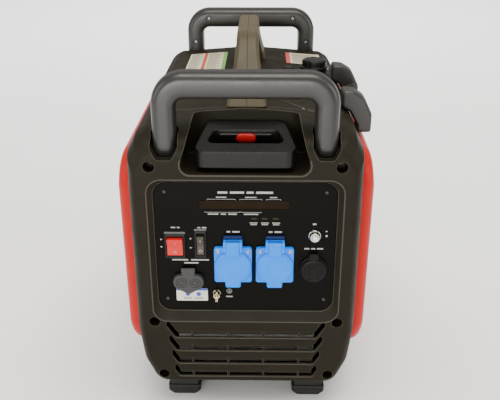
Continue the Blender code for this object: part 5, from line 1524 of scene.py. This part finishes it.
def parallel_outlet():
    middle = sum(JACKS) / 2
    flange = rounded_box(middle - 0.0200, middle + 0.0200, 0.1965, 0.2155, 0.006, 8)
    steps = layers(FACE_Y, (-0.0025, 0.0008), (-0.0020, 0.0001), (0.0, 0.0))
    body = rounded_box(middle - 0.0178, middle + 0.0178, 0.1990, 0.2130, 0.004, 4)
    holes = [bore("Y", (x, JACK_Z), 0.0046, FACE_Y - 0.0025, 0.0145, 0.0004) for x in JACKS]
    piece("parallel_outlet_body", stepped(flange, steps), "gloss", stands_for=["parallel_outlet"],
          add=[along_y(body, FACE_Y - 0.001, FACE_Y + 0.016)], cut=holes)
    pins = [turned(off(FACE_Y, (0.0012, 0.011), (0.0012, 0.0012), (0.0006, 0.0004), (0.0, 0.0004))[::-1],
                   "Y", (x, JACK_Z), 24) for x in JACKS]
    piece("parallel_outlet_pins", joined(pins), "brass")
    back = FACE_Y - 0.0025 - SEAM_GAP
    radius = 0.0115
    outline = arc((JACKS[1], JACK_Z), radius, -60.0, 100.0, 26)
    outline += [(middle + 0.0090, 0.2190), (middle + 0.0090, 0.2240)]
    outline += [(middle - 0.0090, 0.2240), (middle - 0.0090, 0.2190)]
    outline += arc((JACKS[0], JACK_Z), radius, 80.0, 240.0, 26)
    outline += layers(middle, (-0.0030, 0.1895), (-0.0012, 0.1885), (0.0012, 0.1885), (0.0030, 0.1895))
    rings = []
    for y, scale in layers(back, (0.0, 1.0), (-0.0034, 1.0), (-0.0046, 0.985), (-0.0053, 0.955),
                           (-0.0055, 0.915)):
        rings.append([(middle + (x - middle) * scale, y, JACK_Z + (z - JACK_Z) * scale)
                      for x, z in outline])
    hinge_y, hinge_z = -0.2675, 0.2235
    knuckle = cylinder("X", (hinge_y, hinge_z), 0.0030, middle - 0.0090, middle + 0.0090, 32)
    grooves = []
    for x in JACKS:
        for outer in (0.0072, 0.0040):
            grooves.append(turned(off(back, (outer, -0.0062), (outer, -0.0048), (outer - 0.0008, -0.0048),
                                      (outer - 0.0008, -0.0062)), "Y", (x, JACK_Z), 40, True))
    piece("parallel_cover_flap", loft(rings), "grey_rubber", "parallel_cover",
          stands_for=["parallel_outlet_cover"], add=[knuckle], cut=grooves, angle=30.0)


def dc_outlet():
    centre = (DC.x, 0.225)
    drum = turned(off(FACE_Y, (0.0165, -0.0040), (0.0173, -0.0040), (0.0182, -0.0036), (0.0188, -0.0025),
                      (0.0188, 0.0), (0.0140, 0.0), (0.0140, 0.033)),
                  "Y", centre)
    piece("dc_outlet_barrel", drum, "dull_black", stands_for=["dc_outlet"],
          cut=[cylinder("Y", centre, 0.0105, FACE_Y - 0.010, FACE_Y + 0.030)])
    liner = turned(off(FACE_Y, (0.0103, 0.001), (0.0103, 0.029), (0.0098, 0.029), (0.0098, 0.001)), "Y",
                   centre, 48, True)
    piece("dc_outlet_liner", liner, "steel")
    back = FACE_Y - 0.0040 - SEAM_GAP
    cap = off(back, (0.0172, 0.0), (0.0172, -0.0026), (0.0166, -0.0038), (0.0155, -0.0046),
              (0.0138, -0.0052), (0.0128, -0.0052), (0.0120, -0.0046), (0.0114, -0.0038),
              (0.0070, -0.0038), (0.0064, -0.0044), (0.0058, -0.0044), (0.0052, -0.0038), (0.0, -0.0038))
    hinge_z = 0.2468
    lug = rounded_box(DC.x - 0.0060, DC.x + 0.0060, 0.2380, hinge_z + 0.0025, 0.0022, 6)
    lug_shape = stepped(lug, layers(back, (-0.0030, 0.0008), (-0.0024, 0.0), (0.0, 0.0)))
    piece("dc_cap_lid", turned(cap, "Y", centre), "dull_black", "dc_cap", stands_for=["dc_outlet_cap"],
          add=[lug_shape], angle=30.0)


def small_fittings():
    centre = (BREAKER.x, BREAKER_Z)
    bush = turned(off(FACE_Y, (0.0085, 0.0), (0.0085, -0.0022), (0.0080, -0.0030), (0.0072, -0.0034),
                      (0.0070, -0.0040), (0.0066, -0.0070), (0.0058, -0.0080)), "Y", centre)
    stem = cylinder("Y", centre, 0.0060, FACE_Y - 0.001, FACE_Y + 0.016)
    cut = cylinder("Y", centre, 0.0042, FACE_Y - 0.020, FACE_Y + 0.010, 48)
    piece("breaker_bush", bush, "chrome", stands_for=["dc_breaker_body"], add=[stem], cut=[cut])
    button = turned(off(FACE_Y, (0.0, -0.0115), (0.0018, -0.0114), (0.0028, -0.0110), (0.0034, -0.0102),
                        (0.0036, -0.0092), (0.0036, 0.0060)), "Y", centre,
                    40)
    piece("breaker_push_button", button, "white", "breaker_button", stands_for=["dc_breaker_button"])
    centre = (STUD.x, STUD.z)
    pitch = 0.0007
    thread = []
    for i in range(17):
        y = FACE_Y - 0.0030 - i * pitch
        thread += [(0.0024, y), (0.0021, y - pitch / 2)]
    stud = off(FACE_Y, (0.0, 0.0100), (0.0024, 0.0100), (0.0024, 0.0), (0.0052, 0.0), (0.0052, -0.0026),
               (0.0047, -0.0030)) + thread
    stud += [(0.0020, FACE_Y - 0.0150), (0.0, FACE_Y - 0.0150)]
    piece("earth_stud", turned(stud, "Y", centre, 40), "brass", stands_for=["ground_stud"], angle=40.0)
    low = FACE_Y - 0.0105
    high = FACE_Y - 0.0030 - SEAM_GAP
    ring = turned([(0.0048, high), (0.0048, high - 0.0014), (0.0044, low + 0.0008), (0.0040, low),
                   (0.0028, low), (0.0028, high)], "Y", centre, 40, True)
    wings = []
    for side in (-1, 1):
        base_z = STUD.z + side * 0.0036
        tip_z = STUD.z + side * 0.0078
        rings = []
        for z, thick, y_low, y_high in ((base_z, 0.0010, low + 0.0016, high - 0.0004),
                                        ((base_z + tip_z) / 2, 0.0014, low - 0.0008, high - 0.0016),
                                        (tip_z - side * 0.0006, 0.0018, low - 0.0020, high - 0.0022),
                                        (tip_z, 0.0012, low - 0.0012, high - 0.0034)):
            outline = rounded_box(STUD.x - thick, STUD.x + thick, y_low, y_high, thick * 0.8, 4)
            rings.append([(x, y, z) for x, y in outline])
        wings.append(loft(rings))
    piece("earth_wing_nut", ring, "brass", "wing_nut", stands_for=["ground_wing_nut"], add=wings,
          angle=40.0)


# ------------------------------------------------------ filler cap and starter
CAP = middle_of("fuel_cap")
CAP_X, CAP_Y = CAP.x, CAP.y
CAP_BASE_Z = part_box("fuel_cap")[0].z - 0.0016
VENT = middle_of("fuel_vent_knob")
VENT_X, VENT_Y = VENT.x, VENT.y
ROPE_EXIT = Vector((0.1443, CRANK_Y - 0.045, 0.3925))
ROPE_OUT = Vector((0.875, 0.0, 0.484)).normalized()


def straight_tube(start, end, radius, steps):
    along = (end - start).normalized()
    side = along.cross(Vector((0.0, 1.0, 0.0))).normalized()
    up = along.cross(side)
    rings = []
    for point in (start, end):
        rings.append([tuple(point + side * a + up * b) for a, b in circle((0.0, 0.0), radius, steps)])
    return loft(rings)


def fuel_parts():
    base = CAP_BASE_Z
    centre = (CAP_X, CAP_Y)
    shell = off(base, (0.0212, 0.0016), (0.0222, 0.0024), (0.0222, 0.0054), (0.0216, 0.0064),
                (0.0196, 0.0072), (0.0190, 0.0080), (0.0188, 0.0148), (0.0184, 0.0162), (0.0172, 0.0172),
                (0.0155, 0.0175), (0.0140, 0.0168), (0.0, 0.0166))
    item = mesh_object("cap", turned(shell, "Z", centre, 96))
    combine(item, "DIFFERENCE", [cylinder("Z", centre, 0.0083, base, base + 0.0095, 40)])
    item = grow(painted(item, "gloss"), "ring", "gloss", Count=30, Radius=0.0189,
                Block_Size=(0.0013, 0.0020, 0.0074), Centre=(CAP_X, CAP_Y, base + 0.0115))
    ridge = box(CAP_X - 0.0120, CAP_X + 0.0120, CAP_Y - 0.0018, CAP_Y + 0.0018, base + 0.0150,
                base + 0.0173)
    piece("filler_cap_shell", item, "gloss", "cap_shell", stands_for=["fuel_cap"], angle=35.0)
    piece("filler_cap_ridge", ridge, "gloss", "cap_shell", bevel=0.0007)
    shine("fuel_cap_insert", "filler_cap_insert", "rubber", "cap_insert")
    collar = turned(off(base, (0.0183, -0.0060), (0.0215, -0.0060), (0.0215, -0.0004), (0.0207, 0.0002),
                        (0.0190, 0.0002), (0.0183, -0.0008)), "Z", centre, 64,
                    True)
    piece("filler_collar", collar, "rubber")
    vent_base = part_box("fuel_vent_knob")[1].z - 0.0085
    knob = turned(off(vent_base, (0.0060, 0.0010), (0.0084, 0.0012), (0.0088, 0.0022), (0.0086, 0.0058),
                      (0.0078, 0.0074), (0.0060, 0.0083), (0.0, 0.0085)), "Z", (VENT_X, VENT_Y), 64)
    stem = cylinder("Z", (VENT_X, VENT_Y), 0.0038, vent_base - 0.010, vent_base + 0.003, 32)
    item = mesh_object("knob", knob)
    combine(item, "UNION", [stem])
    item = grow(painted(item, "rubber"), "ring", "rubber", Count=20, Radius=0.0084,
                Block_Size=(0.0008, 0.0011, 0.0042), Centre=(VENT_X, VENT_Y, vent_base + 0.0038))
    piece("vent_knob_dial", item, "rubber", "vent_knob", stands_for=["fuel_vent_knob"])


def starter():
    cheek = filleted([
        (0.1510, 0.3740, 0.0), (0.1712, 0.3740, 0.0040), (0.1712, 0.4000, 0.0150),
        (0.1600, 0.4230, 0.0150), (0.1450, 0.4320, 0.0150), (0.1292, 0.4330, 0.0040),
        (0.1292, 0.4098, 0.0), (0.1402, 0.4036, 0.0060), (0.1507, 0.3850, 0.0050),
    ], 8)
    for name in ("front", "rear"):
        low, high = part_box(f"starter_guard_{name}")
        item = mesh_object("guard", along_y(cheek, low.y, high.y))
        bevelled(item, 0.0042, 5, 50.0)
        piece(f"starter_cheek_{name}", item, "handle", stands_for=[f"starter_guard_{name}"], angle=40.0)
    side = Vector((-ROPE_OUT.z, 0.0, ROPE_OUT.x))
    bar_outline = filleted([(0.006, -0.010, 0.005), (0.024, -0.008, 0.006), (0.024, 0.008, 0.006),
                            (0.006, 0.010, 0.005)], 8)
    half_length = 0.046
    rings = []
    for step, scale in ((-1.0, 0.70), (-0.992, 0.80), (-0.975, 0.92), (-0.95, 0.985), (-0.92, 1.0),
                        (-0.55, 1.0), (-0.50, 0.93), (-0.45, 1.0), (0.45, 1.0), (0.50, 0.93), (0.55, 1.0),
                        (0.92, 1.0), (0.95, 0.985), (0.975, 0.92), (0.992, 0.80), (1.0, 0.70)):
        ring = []
        for out, across in bar_outline:
            out = 0.015 + (out - 0.015) * scale
            point = ROPE_EXIT + ROPE_OUT * out + side * across * scale
            ring.append((point.x, point.y + step * half_length, point.z))
        rings.append(ring)
    stem = straight_tube(ROPE_EXIT + ROPE_OUT * 0.0016, ROPE_EXIT + ROPE_OUT * 0.010, 0.0085, 40)
    piece("starter_grip_bar", loft(rings), "rubber", "starter_grip", stands_for=["recoil_grip"],
          add=[stem], angle=40.0)
    starter_cord()


def starter_cord():
    """The cord from the pulley up to the grip."""
    pulley = middle_of("recoil_pulley")
    start = Vector((pulley.x, ROPE_EXIT.y, CRANK_Z))
    corner = Vector((pulley.x, ROPE_EXIT.y, 0.3300))
    straight = ROPE_EXIT - ROPE_OUT * 0.018
    reach = 0.030
    points = [start.lerp(corner, i / 30) for i in range(31)]
    above = corner + Vector((0.0, 0.0, reach))
    before = straight - ROPE_OUT * reach * 0.6
    for i in range(1, 25):
        t = i / 24
        a = corner.lerp(above, t)
        b = above.lerp(before, t)
        c = before.lerp(straight, t)
        points.append(a.lerp(b, t).lerp(b.lerp(c, t), t))
    last = ROPE_EXIT + ROPE_OUT * 0.0012
    count = 120
    points += [straight.lerp(last, i / count) for i in range(1, count + 1)]
    path = bpy.data.curves.new("starter_cord", "CURVE")
    path.dimensions = "3D"
    spline = path.splines.new("POLY")
    spline.points.add(len(points) - 1)
    for place, point in zip(spline.points, points):
        place.co = (*point, 1.0)
    item = grow(placed("starter_cord", path), "rope", "cord", Radius=0.0021, Twists_Per_Metre=80.0)
    smoothed(item, 60.0)
    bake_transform(item)
    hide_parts("starter_rope")


# --------------------------------------------------------- labels on the top
def skin_probe(names, lowest):
    """A function that gives the height of the named skins over a place."""
    graph = bpy.context.evaluated_depsgraph_get()
    trees = [BVHTree.FromObject(bpy.data.objects[name], graph) for name in names]

    def height(x, y):
        hits = [tree.ray_cast(Vector((x, y, 0.6)), Vector((0.0, 0.0, -1.0)))[0] for tree in trees]
        return max((hit.z for hit in hits if hit is not None and hit.z > lowest), default=TOP_Z)

    return height


def top_labels():
    """Thin cards that follow the top cover, with plain stripes and lines."""
    height = skin_probe(("top_cover_shell", "rear_housing_shell"), 0.38)

    def card(x_low, x_high, y_low, y_high, lift):
        across, down = 10, 8
        grid = []
        for i in range(across + 1):
            x = x_low + (x_high - x_low) * i / across
            grid.append([(x, y_low + (y_high - y_low) * k / down) for k in range(down + 1)])
        rings = []
        for row in grid:
            ring = [(x, y, height(x, y) + lift) for x, y in row]
            ring += [(x, y, height(x, y) - 0.0002) for x, y in reversed(row)]
            rings.append(ring)
        return loft(rings)

    def stick(name, material, shapes):
        piece(name, joined(shapes), material)

    low, high = 0.0475, 0.1775
    stick("left_label_field", "label_cream", [card(-0.105, -0.0800, low, high, 0.0004),
                                              card(-0.0745, -0.0460, low, high, 0.0004)])
    stick("left_label_stripe", "label_red", [card(-0.0800, -0.0745, low, high, 0.0004)])
    stick("left_label_edge", "label_green", [card(-0.0460, -0.040, low, high, 0.0004)])
    low, high = 0.1025, 0.1825
    stick("right_label_field", "label_cream", [card(0.0690, 0.1220, low, high, 0.0004)])
    stick("right_label_stripe", "label_red", [card(0.0620, 0.0690, low, high, 0.0004)])
    lines = []
    for x_low, x_high, y_low, rows in ((-0.1020, -0.0835, 0.0540, 18), (-0.0715, -0.0490, 0.0540, 18),
                                       (0.0730, 0.1180, 0.1085, 10)):
        for i in range(rows):
            y = y_low + i * 0.0067
            short = (x_high - x_low) * (0.0, 0.30, 0.12)[i % 3]
            lines.append(card(x_low, x_high - short, y, y + 0.0022, 0.0008))
    stick("label_lines", "label_grey", lines)


def top_bead():
    """A raised moulding line that curves from the carry handle's foot to the front corner."""
    height = skin_probe(("top_cover_shell", "front_housing_shell"), 0.0)
    corners = [Vector((0.0300, -0.1150)), Vector((0.0560, -0.1350)), Vector((0.0760, -0.1700)),
               Vector((0.1000, -0.1790))]
    rings = []
    count = 30
    for i in range(count + 1):
        t = i / count
        a, b, c = (corners[k].lerp(corners[k + 1], t) for k in range(3))
        d, e = a.lerp(b, t), b.lerp(c, t)
        spot = d.lerp(e, t)
        along = (e - d).normalized()
        across = Vector((-along.y, along.x))
        grow_by = 0.0008 + 0.0030 * t
        ring = []
        for x, z in arc((0.0, 0.0), 1.0, 0.0, 180.0, 8):
            place = spot + across * x * grow_by
            ring.append((place.x, place.y, height(spot.x, spot.y) - 0.0003 + z * grow_by * 0.8))
        rings.append(ring)
    piece("top_cover_bead", loft(rings), "handle", angle=60.0)


def screws_in_wells():
    seats = []
    for side in (-1, 1):
        for a, z in SCREW_WELLS:
            seats.append(((side * a, -0.2472, z), (0.0, -1.0, 0.0)))
    screws("front_housing_screws", seats, "dark_steel", 0.0046, 0.0022, seed=17)
    seats = [((side * a, 0.2382, z), (0.0, 1.0, 0.0)) for side in (-1, 1) for a, z in REAR_SCREW_WELLS]
    screws("rear_housing_screws", seats, "dark_steel", 0.0046, 0.0022, seed=19)


def exhaust_screen():
    centre = EXHAUST
    y = 0.2600
    rim = mesh_object("rim", turned(off(y, (0.0083, 0.0), (0.0083, 0.0012), (0.0068, 0.0012),
                                        (0.0068, 0.0)), "Y",
                                    centre, 48, True))
    item = grow(painted(rim, "dark_steel"), "slat", "dark_steel", Columns=7, Rows=1, Column_Pitch=0.0020,
                Row_Pitch=0.002, Bar_Size=(0.0005, 0.0005, 0.0130),
                Centre=(centre[0], y + 0.0006, centre[1]))
    item = grow(item, "slat", "dark_steel", Columns=1, Rows=7, Column_Pitch=0.0020, Row_Pitch=0.0020,
                Bar_Size=(0.0130, 0.0005, 0.0005), Centre=(centre[0], y + 0.0006, centre[1]))
    item.name = "exhaust_spark_screen"
    settle(item, "root")


def inner_works():
    """Engine, generator and electronics: carried over, smoothed and in real finishes."""
    kept = (
        ("engine_block", "engine_casting", "aluminium", "root", "aluminium"),
        ("stator", "stator_windings", "copper", "root", "copper"),
        ("muffler", "muffler_can", "steel", "root", "steel"),
        ("air_filter_box", "air_filter_case", "shell", "root", "body_plastic"),
        ("carburettor", "carburettor_casting", "aluminium", "root", "aluminium"),
        ("inverter_module", "inverter_heat_sink", "aluminium", "root", "aluminium"),
        ("fuel_tank", "fuel_tank_moulding", "tank", "root", "tank_plastic"),
        ("handle_guide_frame", "slide_guide_frame", "steel", "root", "steel"),
        ("crankshaft_rotor", "crankshaft_and_rotor", "steel", "rotor", "steel"),
        ("recoil_pulley", "starter_pulley_wheel", "handle", "starter_pulley", "handle_plastic"),
    )
    for node, name, material, body, slot in kept:
        shine(node, name, material, body)


# -------------------------------------------------------------- studio set-up
def area_light(name, place, target, size, energy, colour=(1.0, 1.0, 1.0)):
    data = bpy.data.lights.new(name, "AREA")
    data.shape = "RECTANGLE"
    data.size, data.size_y = size
    data.energy = energy
    data.color = colour
    lamp = placed(name, data)
    lamp.location = place
    way = Vector(target) - Vector(place)
    lamp.rotation_euler = way.to_track_quat("-Z", "Y").to_euler()
    return lamp


def studio():
    floor_material = finish("pale_floor", (0.80, 0.80, 0.79), (0.77, 0.77, 0.76), 0.75, 0.05, mottle=2.0,
                            grain=60.0, grain_depth=0.0003)
    floor = mesh_object("studio_floor", ([(-6, -6, 0), (6, -6, 0), (6, 9, 0), (-6, 9, 0)], [(0, 1, 2, 3)]))
    floor.data.materials.append(floor_material)
    world = bpy.data.worlds.new("studio_world")
    world.use_nodes = True
    background = world.node_tree.nodes["Background"]
    background.inputs["Color"].default_value = (1.0, 0.985, 0.955, 1.0)
    background.inputs["Strength"].default_value = 0.50
    bpy.context.scene.world = world
    area_light("front_softbox", (-0.30, -2.1, 0.55), (0.0, -0.2, 0.30), (1.5, 0.7), 34.0, (1.0, 0.98, 0.95))
    area_light("top_softbox", (0.15, -0.55, 2.2), (0.0, -0.1, 0.2), (1.6, 1.2), 44.0, (1.0, 0.95, 0.87))
    area_light("left_fill", (-1.9, -0.8, 1.0), (0.0, 0.0, 0.25), (1.0, 1.4), 14.0)
    area_light("right_fill", (1.9, -0.7, 1.0), (0.0, 0.0, 0.25), (1.0, 1.4), 16.0)
    backdrop = area_light("backdrop_light", (0.0, 3.2, 2.9), (0.0, 2.8, 0.0), (5.0, 3.6), 440.0)
    backdrop.visible_glossy = False


CAMERA_PLACE = (0.018, -1.0695, 0.684)
CAMERA_PITCH = 24.1
CAMERA_TURN = 0.86
CAMERA_LENS = 50.4


def camera():
    data = bpy.data.cameras.new("camera")
    data.sensor_width = 36.0
    data.lens = CAMERA_LENS
    eye = placed("camera", data)
    eye.location = CAMERA_PLACE
    eye.rotation_euler = (math.radians(90.0 - CAMERA_PITCH), 0.0, math.radians(CAMERA_TURN))
    bpy.context.scene.camera = eye


camera()
studio()
front_housing()
rear_housing()
middle_shells()
side_covers()
loop_handles()
carry_handle()
trolley_grip()
feet()
wheels()
panel()
switches()
sockets()
parallel_outlet()
dc_outlet()
small_fittings()
fuel_parts()
starter()
top_labels()
top_bead()
screws_in_wells()
exhaust_screen()
inner_works()
